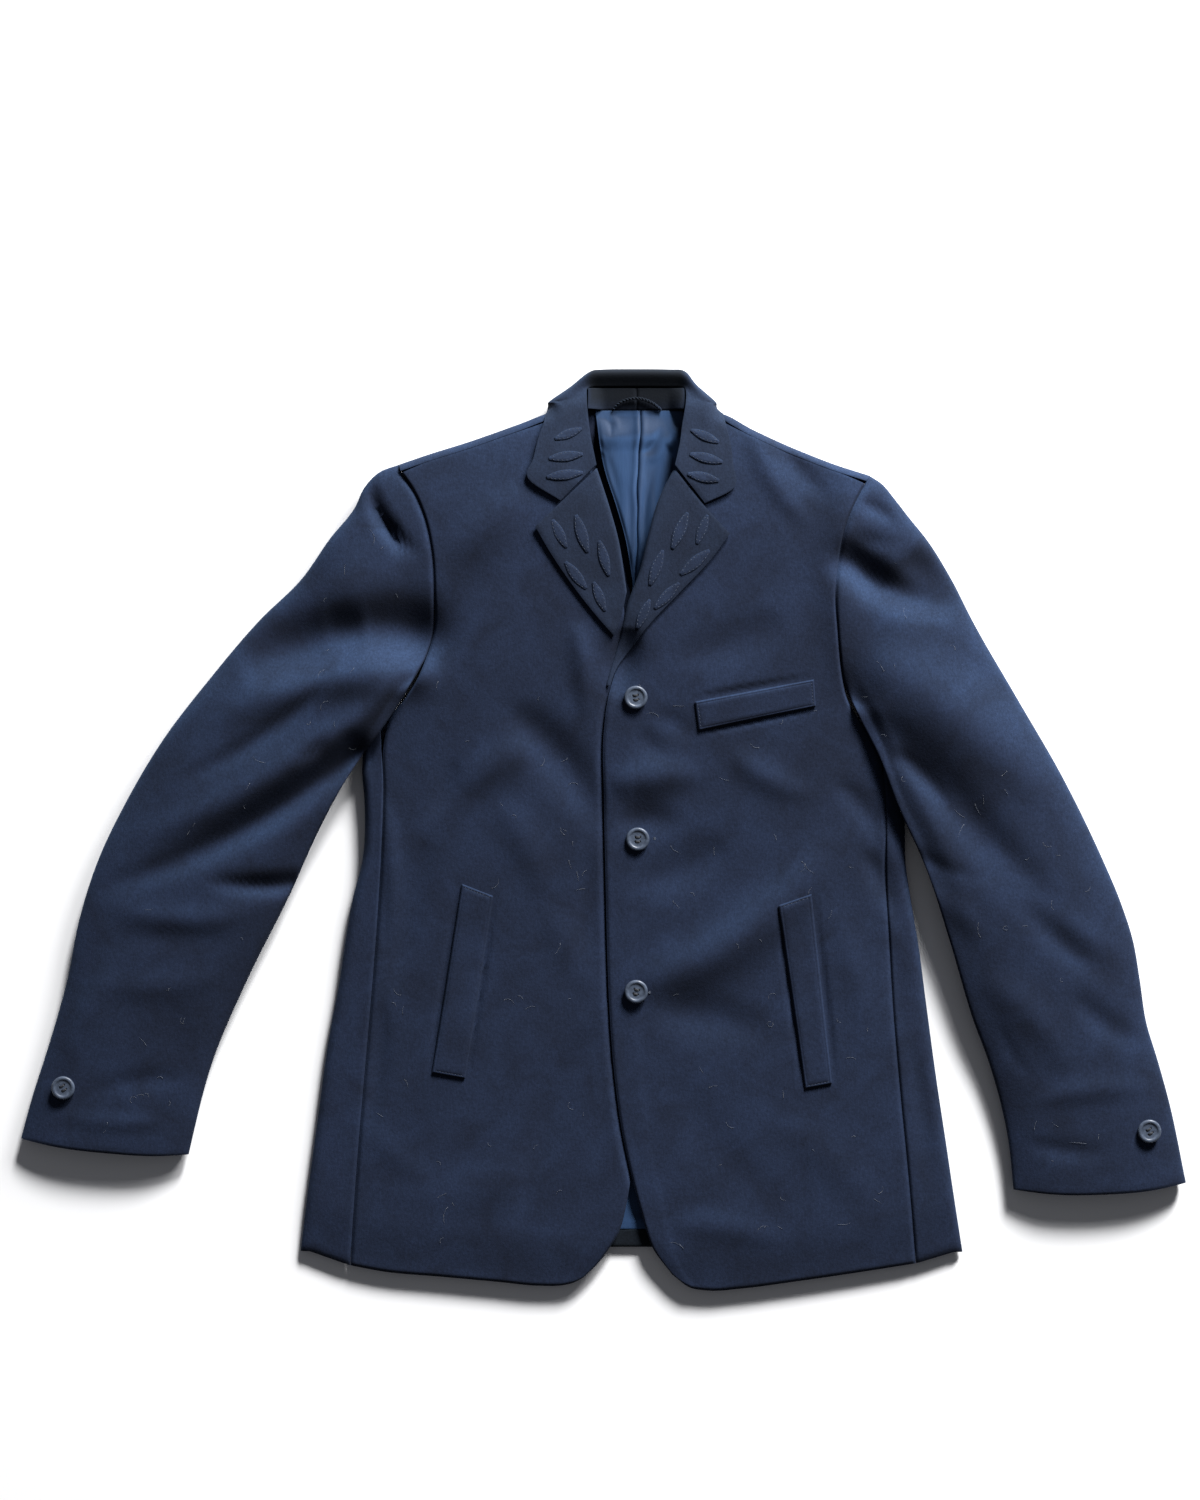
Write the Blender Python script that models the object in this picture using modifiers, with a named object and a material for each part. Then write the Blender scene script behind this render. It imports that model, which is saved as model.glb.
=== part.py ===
# A wool blazer lying flat on its back, buttoned, with its sleeves spread to the sides.
#
# Frame: +X to the right of someone looking down on it, +Y towards the collar, +Z up.
# The back lies on z = 0. "Left" and "right" in names are the wearer's own sides,
# so the left front, which laps over the other one, lies towards +X.
# Tables are in millimetres; meshes are in metres.
import math

import bmesh
import bpy
from mathutils import Vector

MM = 0.001
WOOL = 2.0            # melton, one layer
FACING = 1.7          # lapels and welts
LINING = 1.0
SEAM = 0.3            # gap between pieces that are sewn together
SHOULDER_WRAP = 7.0   # how far the back comes over the shoulder edge
BUTTON_DIAMETER = 20.0    # the three front ones and the two on the cuffs
UNDERLAP_DROP = 3.7   # the right front lies this much lower under the left one
LAPEL_LIFT = 2.3      # from the front's face to the lapel's face
COLLAR_EASE = 0.9     # the collar's leaves stand this much clear of the front
COLLAR_WALL = 1.8
WELT_LIFT = 2.2       # from the front's face to a pocket welt's face
LEAF_THICKNESS = 1.0  # the sewn-on felt leaves
LEAF_LIFT = 1.45      # from the piece below to a leaf's face
SLEEVE_ROUND = 7.0    # sideways radius of the sleeve's folded edges
SLEEVE_TURN = 15.0    # the sleeve's top piece ends this far in on the underside
SLEEVE_SEAM = 1.2     # gap between the sleeve's two pieces, on the underside
ARMHOLE_GAP = 1.0     # the sleeve's rim stands this far outside the armhole
BACK_LENGTH = 720.0

# How finely each piece is divided. The fronts and side panels share their rows.
FRONT_ROWS = 26
SIDE_ROWS = 16
BACK_ROWS = 28
SLEEVE_ROWS = 18
DOME_COLUMNS = 9      # across the sleeve's top
TOP_COLUMNS = DOME_COLUMNS + 6

# Height of the front's face above the floor, down the middle of the body.
CROWN = [  # y, height
    (-400, 11.0), (-250, 12.5), (-100, 15.0), (0, 18.0), (100, 22.0),
    (200, 25.0), (290, 25.0), (330, 21.0), (360, 15.5), (400, 12.0),
]
HALF_WIDTH = [  # y, half of the body's width
    (-400, 290), (-200, 262), (-20, 240), (100, 235), (180, 330), (400, 360),
]
# The largest folds: soft troughs (negative) and ridges, each along one line.
FOLDS = [  # x0, y0, x1, y1, half width, height
    (-150, 196, -236, 196, 22, -8.0),     # sleeve head, right sleeve
    (-188, 254, -158, 232, 9, -3.0),
    (-232, 226, -300, 150, 20, 3.0),
    (-262, 44, -330, 10, 26, -4.0),       # elbow, right sleeve
    (-300, 70, -400, 20, 20, 2.5),
    (232, 222, 300, 214, 16, -6.0),       # sleeve head, left sleeve
    (214, 160, 330, 130, 22, 3.0),
    (262, 84, 350, 28, 20, -5.0),         # elbow, left sleeve
    (300, 10, 400, -20, 24, 3.0),
    (31, 78, 60, 66, 11, -3.0),           # pull below the top button
    (-40, 60, -28, -120, 14, -1.6),       # hollow beside the closing
    (-150, 40, -60, -60, 22, 2.0),
    (60, -20, 150, 60, 24, 2.0),
    (-170, -150, -60, -250, 26, -1.6),
    (60, -260, 190, -190, 26, 1.8),
]

# Edges of the pieces, seen from above.
LEFT_FRONT_EDGE = [  # x, y, up from the hem to the shoulder seam
    (58.5, -381.8), (42.1, -359.5), (31.8, -327.7), (23.2, -295), (15.5, -258.9),
    (8.6, -207.3), (4.3, -147.1), (1.7, -61.1), (0, 24.9), (-0.4, 80.8), (3.5, 112),
    (11, 138.5), (16.5, 158.2), (25.1, 194.4), (34.6, 220.2), (41.5, 248.5),
    (50.9, 281.2), (64, 308), (82, 333), (93, 351.5),
]
RIGHT_FRONT_EDGE = [
    (-17.2, -384.4), (0, -370.7), (7.7, -358.6), (15.5, -345.7), (19.8, -323.4),
    (22.4, -301.9), (27.5, -258.9), (31, -198.7), (32.7, -147.1), (33.5, -61.1),
    (33.5, 24.9), (32.7, 80.8), (31, 119.5), (25, 145.3), (18, 179.7), (14, 216.7),
    (7, 248.5), (-0.5, 276.1), (-9, 302), (-26, 332), (-37, 351.5),
]
LEFT_SIDE_SEAM = [  # hem up to the armhole's lowest point
    (267.5, -372.4), (260.6, -293.3), (254.6, -233.1), (248.5, -164.3), (244.2, -95.5),
    (240.8, -35.3), (240.8, 7.7), (239.6, 37.8), (234, 66), (222.5, 88), (211, 104),
    (206, 116), (203.6, 126.6),
]
RIGHT_SIDE_SEAM = [
    (-217.6, -374.1), (-209.8, -267.5), (-203.8, -198.7), (-197.8, -129.9),
    (-192.6, -61.1), (-190.1, -18.1), (-188.3, 33.5), (-188.6, 70), (-182, 96),
    (-168.5, 114), (-158.8, 129), (-152, 146.3),
]
LEFT_ARMHOLE = [  # lowest point up to the shoulder
    (203.6, 126.6), (198.7, 171.1), (196.9, 198.7), (200.4, 231.3), (204.7, 256.3),
    (211.6, 274.3), (222.2, 294.8), (227, 302.7),
]
RIGHT_ARMHOLE = [
    (-152, 146.3), (-145.3, 171.1), (-144.5, 198.7), (-147.1, 241.7),
    (-153.1, 267.5), (-163.4, 290.7), (-172.8, 304.2), (-175.4, 312.2),
]
LEFT_SHOULDER = [(93, 359.5), (129, 341.4), (175.4, 320.8), (202.1, 310.5), (227, 302.7)]
RIGHT_SHOULDER = [(-37, 359.5), (-74, 346.6), (-117.8, 331.1), (-150.5, 320.8), (-175.4, 312.2)]
LEFT_HEM = [
    (58.5, -381.8), (74, -393), (90.3, -395.6), (117, -393.9), (163.4, -387.9),
    (211.6, -381), (267.5, -372.4),
]
RIGHT_HEM = [
    (-17.2, -384.4), (-33.5, -393), (-55, -392.2), (-92.9, -387.9), (-141, -383.6),
    (-189.2, -379.3), (-217.6, -374.1),
]
LEFT_BODY_EDGE = [  # the body's outline, hem up to below the armhole
    (307.9, -362.9), (301, -319.1), (293.3, -267.5), (285.5, -215.9), (276.1, -147.1),
    (269.2, -95.5), (263.2, -61.1), (258.5, -26.7), (258, 0), (257, 29), (250, 60),
    (241, 80),
]
RIGHT_BODY_EDGE = [
    (-260.6, -362.1), (-255.4, -319.1), (-246, -250.3), (-236.5, -181.5), (-227, -129.9),
    (-221.9, -95.5), (-215.9, -61.1), (-207.3, -26.7), (-205.5, 24.9), (-207.5, 52),
    (-204, 80), (-197, 101),
]
LEFT_UNDER_SEAM = [  # side panel to back, on the underside, up to the armhole
    (283, -362), (268, -250), (251, -130), (239, -50), (232, 20), (224, 75),
]
RIGHT_UNDER_SEAM = [(-236, -362), (-222, -250), (-202, -130), (-189, -50), (-182, 20), (-176, 84)]
LEFT_SLEEVE_OUTER = [  # shoulder down to the cuff
    (228, 302.4), (239.1, 295), (247.7, 284.7), (262.3, 265.7), (276.1, 248.5),
    (297.6, 214.1), (314.8, 179.7), (354.3, 110.9), (393.9, 42.1), (427.4, -26.7),
    (442, -61.1), (453.2, -95.5), (459.2, -129.9), (464.4, -164.3), (474.7, -198.7),
    (484.2, -233.1), (498.8, -302.7),
]
LEFT_SLEEVE_INNER = [
    (205.2, 125.6), (218.4, 95.5), (235.6, 61.1), (252.8, 16.3), (272.6, -26.7),
    (295.8, -95.5), (316.5, -164.3), (329.4, -198.7), (346.6, -267.5), (350.9, -308.7),
]
LEFT_CUFF = [(498.8, -302.7), (469.6, -308.7), (426.6, -312.2), (383.6, -312.2), (350.9, -308.7)]
RIGHT_SLEEVE_OUTER = [
    (-176.4, 311.9), (-193.5, 305.3), (-206.4, 291.5), (-213.3, 276.1), (-234.8, 248.5),
    (-258.9, 214.1), (-294.1, 179.7), (-338, 128.1), (-377.5, 76.5), (-408.5, 24.9),
    (-433.4, -26.7), (-449.8, -78.3), (-460.1, -129.9), (-474.7, -181.5),
    (-491.1, -233.1), (-499.7, -264.9),
]
RIGHT_SLEEVE_INNER = [
    (-153.6, 145.3), (-171.1, 114.4), (-190.9, 84.3), (-211.6, 56.8), (-239.9, 7.7),
    (-271.8, -61.1), (-306.2, -129.9), (-335.4, -198.7), (-353.5, -267.5), (-356, -278.6),
]
RIGHT_CUFF = [(-499.7, -264.9), (-467.8, -271.8), (-424.8, -276.9), (-381.8, -279.5), (-356, -278.6)]
BACK_HEM = [(-236, -361.5), (-120, -360), (24.9, -359), (160, -360), (283, -362)]
SLEEVE_HEIGHT = [  # fraction of the sleeve's length, height of its top face
    (0.0, 26.0), (0.12, 30.0), (0.35, 30.0), (0.55, 26.0), (0.8, 20.0), (1.0, 16.5),
]

LEFT_ROLL = [  # the lapel's folded edge, up from the closing
    (1.7, 123), (6.5, 140), (12, 158.2), (20.6, 194.4), (30.1, 220.2), (37, 248.5),
    (46.4, 281.2), (59.6, 308),
]
LEFT_LAPEL_OUTER = [
    (5.2, 123), (10.5, 137), (20.5, 151.5), (37, 172.9), (64.5, 202.1), (91.6, 230.9), (107, 252),
]
RIGHT_ROLL = [  # up from where it goes under the left front
    (19.3, 203), (17.2, 218), (12, 248.5), (4.3, 276.1), (-6, 308),
]
RIGHT_LAPEL_OUTER = [
    (8.6, 165), (-8, 184), (-26.1, 207.3), (-46, 236.5), (-58.5, 258),
]


# ---- curves through named points ----

def through(rows):
    # A smooth curve through the rows, as a function of the fraction of its length.
    points = [Vector(row) for row in rows]
    keys = [0.0]
    for a, b in zip(points, points[1:]):
        keys.append(keys[-1] + (b - a).length)
    total = keys[-1]
    keys = [k / total for k in keys]
    slopes = slopes_of(keys, points)
    return lambda t: hermite(keys, points, slopes, t)


def slopes_of(keys, values):
    # Each inner point's slope, weighted by how near its neighbours are.
    last = len(keys) - 1
    slopes = [(values[1] - values[0]) / (keys[1] - keys[0])]
    for i in range(1, last):
        before = keys[i] - keys[i - 1]
        after = keys[i + 1] - keys[i]
        back = (values[i] - values[i - 1]) / before
        ahead = (values[i + 1] - values[i]) / after
        slopes.append((back * after + ahead * before) / (before + after))
    slopes.append((values[last] - values[last - 1]) / (keys[last] - keys[last - 1]))
    return slopes


def hermite(keys, values, slopes, t):
    t = min(max(t, keys[0]), keys[-1])
    i = 0
    while i < len(keys) - 2 and t > keys[i + 1]:
        i += 1
    span = keys[i + 1] - keys[i]
    s = (t - keys[i]) / span
    return (values[i] * (2 * s ** 3 - 3 * s ** 2 + 1) + slopes[i] * (span * (s ** 3 - 2 * s ** 2 + s))
            + values[i + 1] * (3 * s ** 2 - 2 * s ** 3) + slopes[i + 1] * (span * (s ** 3 - s ** 2)))


def lookup(rows):
    # A smooth value read from rows of key and value.
    keys = [row[0] for row in rows]
    values = [row[1] for row in rows]
    slopes = slopes_of(keys, values)
    return lambda key: hermite(keys, values, slopes, key)


def smooth_step(value, low, high):
    s = min(max((value - low) / (high - low), 0.0), 1.0)
    return s * s * (3 - 2 * s)


def smooth_max(a, b, width=3.0):
    return 0.5 * (a + b + math.sqrt((a - b) ** 2 + width ** 2))


def between_edges(left, right, bottom, top):
    # A sheet stretched between four edge curves; u runs left to right, v upwards.
    def point(u, v):
        ruled = left(v) * (1 - u) + right(v) * u
        ends = bottom(u) * (1 - v) + top(u) * v
        corners = ((left(0) * (1 - u) + right(0) * u) * (1 - v)
                   + (left(1) * (1 - u) + right(1) * u) * v)
        return ruled + ends - corners
    return point


# ---- heights of the cloth ----

crown_at = lookup(CROWN)
half_width_at = lookup(HALF_WIDTH)
sleeve_height_at = lookup(SLEEVE_HEIGHT)
left_edge_x = lookup([(y, x) for x, y in LEFT_FRONT_EDGE])
left_body_x = lookup([(y, x) for x, y in LEFT_BODY_EDGE])
right_body_x = lookup([(y, x) for x, y in RIGHT_BODY_EDGE])


def folds_at(x, y):
    total = 0.0
    for x0, y0, x1, y1, half, height in FOLDS:
        along = Vector((x1 - x0, y1 - y0))
        offset = Vector((x - x0, y - y0))
        t = min(max(offset.dot(along) / along.length_squared, 0.0), 1.0)
        distance = (offset - along * t).length
        total += height * math.exp(-(distance / half) ** 2)
    return total


def face_height(x, y):
    # The front's face, with its folds, above the floor.
    reach = abs(x - 22) / half_width_at(y)
    dome = 1 - 0.22 * min(reach, 1.15) ** 4
    return crown_at(y) * dome + folds_at(x, y)


def right_front_height(x, y):
    under = smooth_step(x, left_edge_x(y) - 17, left_edge_x(y) - 6)
    return face_height(x, y) - UNDERLAP_DROP * under


def body_under(x, y):
    # How high the body holds up a sleeve that lies on it.
    left = smooth_step(left_body_x(y) - x, -62, -14) * smooth_step(-y, -134, -98)
    right = smooth_step(x - right_body_x(y), -62, -14) * smooth_step(-y, -152, -116)
    chosen = left if x > 0 else right
    return (face_height(x, y) + 1.8) * chosen


def neck_lift(x, y):
    # The back lies on the collar's under layer near the neck.
    near = smooth_step(y, 322, 336) * smooth_step(x, -92, -74) * smooth_step(-x, -142, -124)
    return 2.5 * near


# ---- making a piece ----

def new_collection(name):
    collection = bpy.data.collections.new(name)
    bpy.context.scene.collection.children.link(collection)
    return collection


def make_material(name, color, roughness):
    material = bpy.data.materials.new(name)
    material.use_nodes = True
    shader = material.node_tree.nodes["Principled BSDF"]
    shader.inputs["Base Color"].default_value = (*color, 1.0)
    shader.inputs["Roughness"].default_value = roughness
    shader.inputs["Metallic"].default_value = 0.0
    return material


def cloth(name, columns, rows, place, thickness, material, flip=False):
    # A sheet whose outer face is place(u, v), with its thickness on the inner side.
    bm = bmesh.new()
    bmesh.ops.create_grid(bm, x_segments=columns, y_segments=rows, size=1.0)
    for vert in bm.verts:
        u = (vert.co.x + 1) / 2
        v = (vert.co.y + 1) / 2
        vert.co = Vector(place(u, v)) * MM
    if flip:
        bmesh.ops.reverse_faces(bm, faces=bm.faces)
    mesh = bpy.data.meshes.new(name)
    bm.to_mesh(mesh)
    bm.free()
    mesh.materials.append(material)
    piece = bpy.data.objects.new(name, mesh)
    blazer.objects.link(piece)
    mesh.shade_smooth()
    wall = piece.modifiers.new("Cloth", "SOLIDIFY")
    wall.thickness = thickness * MM
    wall.offset = -1.0
    return piece


# ---- body ----

def make_fronts():
    def left_place(u, v):
        x, y = left_front_plan(u, v)
        return x, y, face_height(x, y)

    def right_place(u, v):
        x, y = right_front_plan(u, v)
        return x, y, right_front_height(x, y)

    cloth("front_left", 10, FRONT_ROWS, left_place, WOOL, wool)
    cloth("front_right", 10, FRONT_ROWS, right_place, WOOL, wool, flip=True)


def make_back():
    wrap_rows = 5
    flat_rows = BACK_ROWS - wrap_rows
    turn_start = 1 - SHOULDER_WRAP / BACK_LENGTH

    def place(u, v):
        row = round(v * BACK_ROWS)
        if row <= flat_rows:
            x, y = back_plan(u, turn_start * row / flat_rows)
            return x, y, neck_lift(x, y)
        angle = math.pi * (row - flat_rows) / wrap_rows
        x, y = back_plan(u, turn_start)
        neck = smooth_step(x, -50, -32) * smooth_step(-x, -106, -88)
        forward = (1 - neck) * math.sin(angle) + neck * angle / math.pi
        x, y = back_plan(u, turn_start + (1 - turn_start) * forward)
        rise = (1 - neck) * (1 - math.cos(angle)) / 2
        low = neck_lift(x, y)
        return x, y, low + (face_height(x, y) - low) * rise

    cloth("back", 15, BACK_ROWS, place, WOOL, wool, flip=True)


def make_side(name, seam, edge, under, side, flip):
    # From the front seam, round the body's edge, to the seam with the back.
    def place(u, v):
        start = seam(v * SIDE_ROWS / FRONT_ROWS)
        outer = edge(v)
        end_y = outer.y
        end_x = under(end_y) + side * (0.4 + 1.2 * smooth_step(v, 0.7, 0.95))
        width = abs(outer.x - start.x) - SEAM
        radius = min(8.0, 0.6 * width)
        step = round(u * 10)
        start_x = start.x + side * SEAM
        turn_x = outer.x - side * radius
        top = face_height(turn_x, outer.y)
        if step <= 3:
            k = step / 3
            x = start_x + (turn_x - start_x) * k
            y = start.y + (outer.y - start.y) * k
            return x, y, face_height(x, y)
        if step <= 8:
            angle = math.pi * (step - 3) / 5
            return turn_x + side * radius * math.sin(angle), outer.y, top * (1 + math.cos(angle)) / 2
        k = (step - 8) / 2
        return turn_x + (end_x - turn_x) * k, end_y, 0.0

    cloth(name, 10, SIDE_ROWS, place, WOOL, wool, flip)


# ---- sleeves ----

def sleeve_heights(plan, u, v):
    x, y = plan(u, v)
    low = body_under(x, y)
    own = sleeve_height_at(v) + folds_at(x, y)
    joined = smooth_step(v, 0.0, 0.16)
    high = face_height(x, y) * (1 - joined) + own * joined
    high = smooth_max(high, low + 6.5, 4.0 * joined)
    return x, y, low, high


def make_sleeve(name, plan, width_at, mirrored):
    def top_place(u, v):
        column = round(u * TOP_COLUMNS)
        width = width_at(v)
        from_end = min(column, TOP_COLUMNS - column)
        if from_end < 3:
            inset = (SLEEVE_TURN, SLEEVE_ROUND, 0.29 * SLEEVE_ROUND)[from_end]
            drop = (1.0, 1.0, 0.707)[from_end]
            across = inset / width
            if column > TOP_COLUMNS / 2:
                across = 1 - across
            x, y, low, high = sleeve_heights(plan, across, v)
            middle = (low + high) / 2
            return x, y, middle - (middle - low) * drop
        angle = math.pi * (column - 3) / DOME_COLUMNS
        power = 2 / (6.0 + (2.5 - 6.0) * smooth_step(v, 0.0, 0.2))
        reach = abs(math.cos(angle)) ** power
        across = 0.5 - 0.5 * math.copysign(reach, math.cos(angle))
        x, y, low, high = sleeve_heights(plan, across, v)
        middle = (low + high) / 2
        return x, y, middle + (high - middle) * abs(math.sin(angle)) ** power

    def under_place(u, v):
        inset = (SLEEVE_TURN + SLEEVE_SEAM) / width_at(v)
        across = inset + (1 - 2 * inset) * u
        x, y, low, high = sleeve_heights(plan, across, v)
        return x, y, low

    cloth(name + "_top", TOP_COLUMNS, SLEEVE_ROWS, top_place, WOOL, wool, flip=mirrored)
    cloth(name + "_under", 7, SLEEVE_ROWS, under_place, WOOL, wool, flip=not mirrored)


# ---- lapels and collar ----

def lapel_face(x, y):
    return face_height(x, y) + LAPEL_LIFT


def make_lapel(name, plan, flip):
    def place(u, v):
        across = u ** 1.5
        x, y = plan(across, v)
        edge = plan(0, v)
        distance = (Vector((x, y)) - edge).length
        return x, y, lapel_face(x, y) - 2.4 * math.exp(-distance / 1.4)

    cloth(name, 7, 12, place, FACING, facing, flip)


# From the right notch, behind the neck, to the left notch. The inner line is where
# the collar rolls, the edge line is its outer edge, which goes under behind the neck.
COLLAR_SECTIONS = [
    # inner x, y, z        middle x, y, z         edge x, y, z
    (-6.5, 311.3, 26.3, -22.0, 295.5, 27.6, -37.0, 280.2, 27.7),
    (-8.6, 321.6, 25.0, -37.0, 310.0, 26.6, -64.9, 298.4, 27.3),
    (-11.2, 334.5, 23.0, -36.0, 325.5, 24.6, -61.1, 316.5, 25.5),
    (-12.9, 347.4, 20.6, -35.0, 341.0, 22.0, -56.8, 334.5, 22.7),
    (-14.2, 360.3, 18.2, -34.5, 356.0, 19.8, -54.2, 351.0, 20.2),
    (-14.4, 366.8, 16.4, -36.0, 365.5, 16.6, -51.5, 361.0, 9.5),
    (-14.6, 372.4, 13.8, -44.7, 368.1, 9.0, -46.0, 352.6, 0.0),
    (-14.6, 378.0, 10.3, -31.8, 378.8, 6.0, -29.2, 346.6, 0.0),
    (-10.3, 379.2, 7.8, -12.0, 393.0, 3.8, -12.0, 344.9, 0.0),
    (0.0, 379.6, 6.9, 0.0, 394.2, 3.5, 0.0, 344.4, 0.0),
    (27.5, 379.8, 6.6, 27.5, 394.6, 3.4, 27.5, 344.0, 0.0),
    (55.0, 379.6, 6.9, 56.0, 394.2, 3.5, 55.0, 344.4, 0.0),
    (65.4, 379.2, 7.8, 70.0, 392.6, 3.8, 66.0, 344.9, 0.0),
    (70.1, 377.5, 10.3, 83.0, 378.6, 6.0, 80.0, 346.6, 0.0),
    (69.9, 371.4, 13.8, 95.6, 368.0, 9.0, 97.0, 352.6, 0.0),
    (69.6, 366.0, 16.4, 89.0, 365.5, 16.6, 103.0, 360.5, 9.5),
    (69.0, 360.0, 18.2, 88.0, 356.0, 19.8, 105.4, 351.0, 20.2),
    (66.6, 345.0, 20.9, 88.0, 338.5, 22.3, 107.8, 331.1, 22.9),
    (65.0, 332.0, 23.3, 88.0, 321.0, 25.0, 110.1, 311.0, 25.7),
    (62.5, 320.0, 25.2, 87.0, 306.0, 26.7, 110.9, 291.5, 27.3),
    (60.4, 310.9, 26.3, 73.0, 294.5, 27.6, 85.9, 278.0, 27.7),
]


def collar_section(s):
    keys = list(range(len(COLLAR_SECTIONS)))
    key = s * keys[-1]
    row = []
    for column in range(9):
        values = [section[column] for section in COLLAR_SECTIONS]
        row.append(hermite(keys, values, slopes_of(keys, values), key))
    inner = Vector(row[0:3])
    middle = Vector(row[3:6])
    edge = Vector(row[6:9])
    upper = inner.lerp(middle, 0.8)
    upper.z = inner.z + 0.2 * (middle.z - inner.z)
    lower = edge.lerp(middle, 0.92)
    lower.z = edge.z + 0.05 * (middle.z - edge.z)
    for point in (inner, upper, middle, lower, edge):
        point.z += COLLAR_EASE * smooth_step(point.z, 12, 20)
    return [inner, upper, middle, lower, edge]


def collar_point(s, t):
    points = collar_section(s)
    keys = [0.0]
    for a, b in zip(points, points[1:]):
        keys.append(keys[-1] + (b - a).length)
    place = t * (len(points) - 1)
    index = min(int(place), len(points) - 2)
    key = keys[index] + (keys[index + 1] - keys[index]) * (place - index)
    found = hermite(keys, points, slopes_of(keys, points), key)
    return found.x, found.y, max(found.z, 0.0)


def make_collar():
    cloth("collar", 36, 8, lambda s, t: collar_point(s, 1 - t), COLLAR_WALL, facing, flip=True)


def stand_height(x, y):
    # The band is low behind the neck and climbs at both ends.
    ends = smooth_step(abs(x - 27.7), 28, 42)
    return 6.2 + (9.5 - 0.45 * (y - 360)) * ends


def make_stand():
    def place(u, v):
        x = -13.6 + 82.4 * u
        y = 360.0 + 18.0 * v
        return x, y, stand_height(x, y)

    cloth("collar_stand", 16, 3, place, COLLAR_WALL, facing)


def make_hanger_loop():
    route = through([
        (10.5, 361.0, 8.6), (16, 365.0, 8.8), (26, 367.4, 9.0), (36, 367.0, 9.0),
        (43, 363.5, 8.8), (47, 361.0, 8.6),
    ])
    count = 12
    curve = bpy.data.curves.new("hanger_loop", "CURVE")
    curve.dimensions = "3D"
    curve.bevel_depth = 1.4 * MM
    curve.bevel_resolution = 2
    curve.use_fill_caps = True
    spline = curve.splines.new("POLY")
    spline.points.add(count - 1)
    for i in range(count):
        spline.points[i].co = (*(route(i / (count - 1)) * MM), 1.0)
    curve.materials.append(facing)
    blazer.objects.link(bpy.data.objects.new("hanger_loop", curve))


# ---- lining and back hem ----

def lining_wave(x, y):
    # Satin that lies in soft upright waves.
    return 0.7 * math.sin((x + 0.12 * y) / 7.5) + 0.5 * math.sin((x - 0.3 * y) / 16)


def make_lining():
    seam_x = 29.5

    def neck_place(x0, x1):
        def place(u, v):
            y = 186 + (359.2 - 186) * v
            x = x0 + (x1 - x0) * u
            free = smooth_step(y, 190, 240) * smooth_step(-y, -356, -320)
            under = neck_lift(x, y) + WOOL
            return x, y, under + 0.4 + LINING + free * (1.4 + lining_wave(x, y))
        return place

    cloth("lining_neck_right", 6, 14, neck_place(-13, seam_x - SEAM / 2), LINING, satin)
    cloth("lining_neck_left", 6, 14, neck_place(seam_x + SEAM / 2, 68), LINING, satin)

    def hem_place(u, v):
        x = -30 + 100 * u
        y = -343.2 + 83 * v
        return x, y, WOOL + 0.4 + LINING + 0.7 + 0.6 * math.sin(x / 9)

    cloth("lining_hem", 10, 5, hem_place, LINING, satin)

    def turnup_place(u, v):
        x = -34 + 108 * u
        y = -358.6 + 15 * v
        return x, y, WOOL + 0.4 + WOOL

    cloth("hem_turnup", 6, 2, turnup_place, WOOL, wool)


# ---- pockets, buttons and sewn-on leaves ----

WELTS = {  # four corners, anticlockwise from the lower left
    "welt_breast": [(80.8, 84.3), (180.6, 104.9), (178.9, 128.1), (77.4, 109.2)],
    "welt_left": [(172.0, -221.9), (195.2, -217.6), (177.2, -55.0), (148.8, -64.5)],
    "welt_right": [(-147.1, -208.1), (-118.7, -213.3), (-94.6, -56.8), (-121.3, -46.4)],
}

FRONT_BUTTONS = [(27.1, 112.7), (28.8, -8.2), (27.5, -138.5)]
CUFF_BUTTONS = {"button_cuff_left": (465.7, -257.6), "button_cuff_right": (-461.8, -220.6)}
BUTTON_PROFILE = [  # radius, height as fractions of the button's radius
    (0.0, 0.20), (0.56, 0.20), (0.72, 0.34), (0.92, 0.32), (1.0, 0.18), (0.90, 0.0), (0.0, 0.0),
]

LEAVES = [  # piece it is sewn to, base x, y, tip x, y, half width
    ("lapel_left", 28, 171, 39, 196, 4.2),
    ("lapel_left", 43, 188, 64, 210, 4.6),
    ("lapel_left", 39, 208, 50, 238, 4.6),
    ("lapel_left", 65, 217, 90, 238, 5.0),
    ("lapel_left", 58, 239, 71, 270, 5.0),
    ("lapel_left", 79, 243, 88, 268, 4.2),
    ("lapel_right", 1, 186, -9, 211, 4.2),
    ("lapel_right", 4, 216, -4, 246, 4.4),
    ("lapel_right", -15, 205, -33, 228, 4.6),
    ("lapel_right", -14, 236, -24, 268, 5.0),
    ("lapel_right", -32, 240, -44, 264, 4.4),
    ("collar", -18, 304, -49, 300, 4.4),
    ("collar", -18, 320, -47, 316, 4.4),
    ("collar", -19, 342, -42, 333, 4.0),
    ("collar", 71, 303, 98, 297, 4.4),
    ("collar", 73, 320, 101, 313, 4.4),
    ("collar", 74, 341, 98, 330, 4.0),
]


def make_welts():
    for name, corners in WELTS.items():
        low_left, low_right, high_right, high_left = [Vector(corner) for corner in corners]

        def place(u, v):
            low = low_left.lerp(low_right, u)
            high = high_left.lerp(high_right, u)
            x, y = low.lerp(high, v)
            return x, y, face_height(x, y) + WELT_LIFT

        across, up = (8, 3) if name == "welt_breast" else (3, 10)
        cloth(name, across, up, place, FACING, wool)


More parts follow.
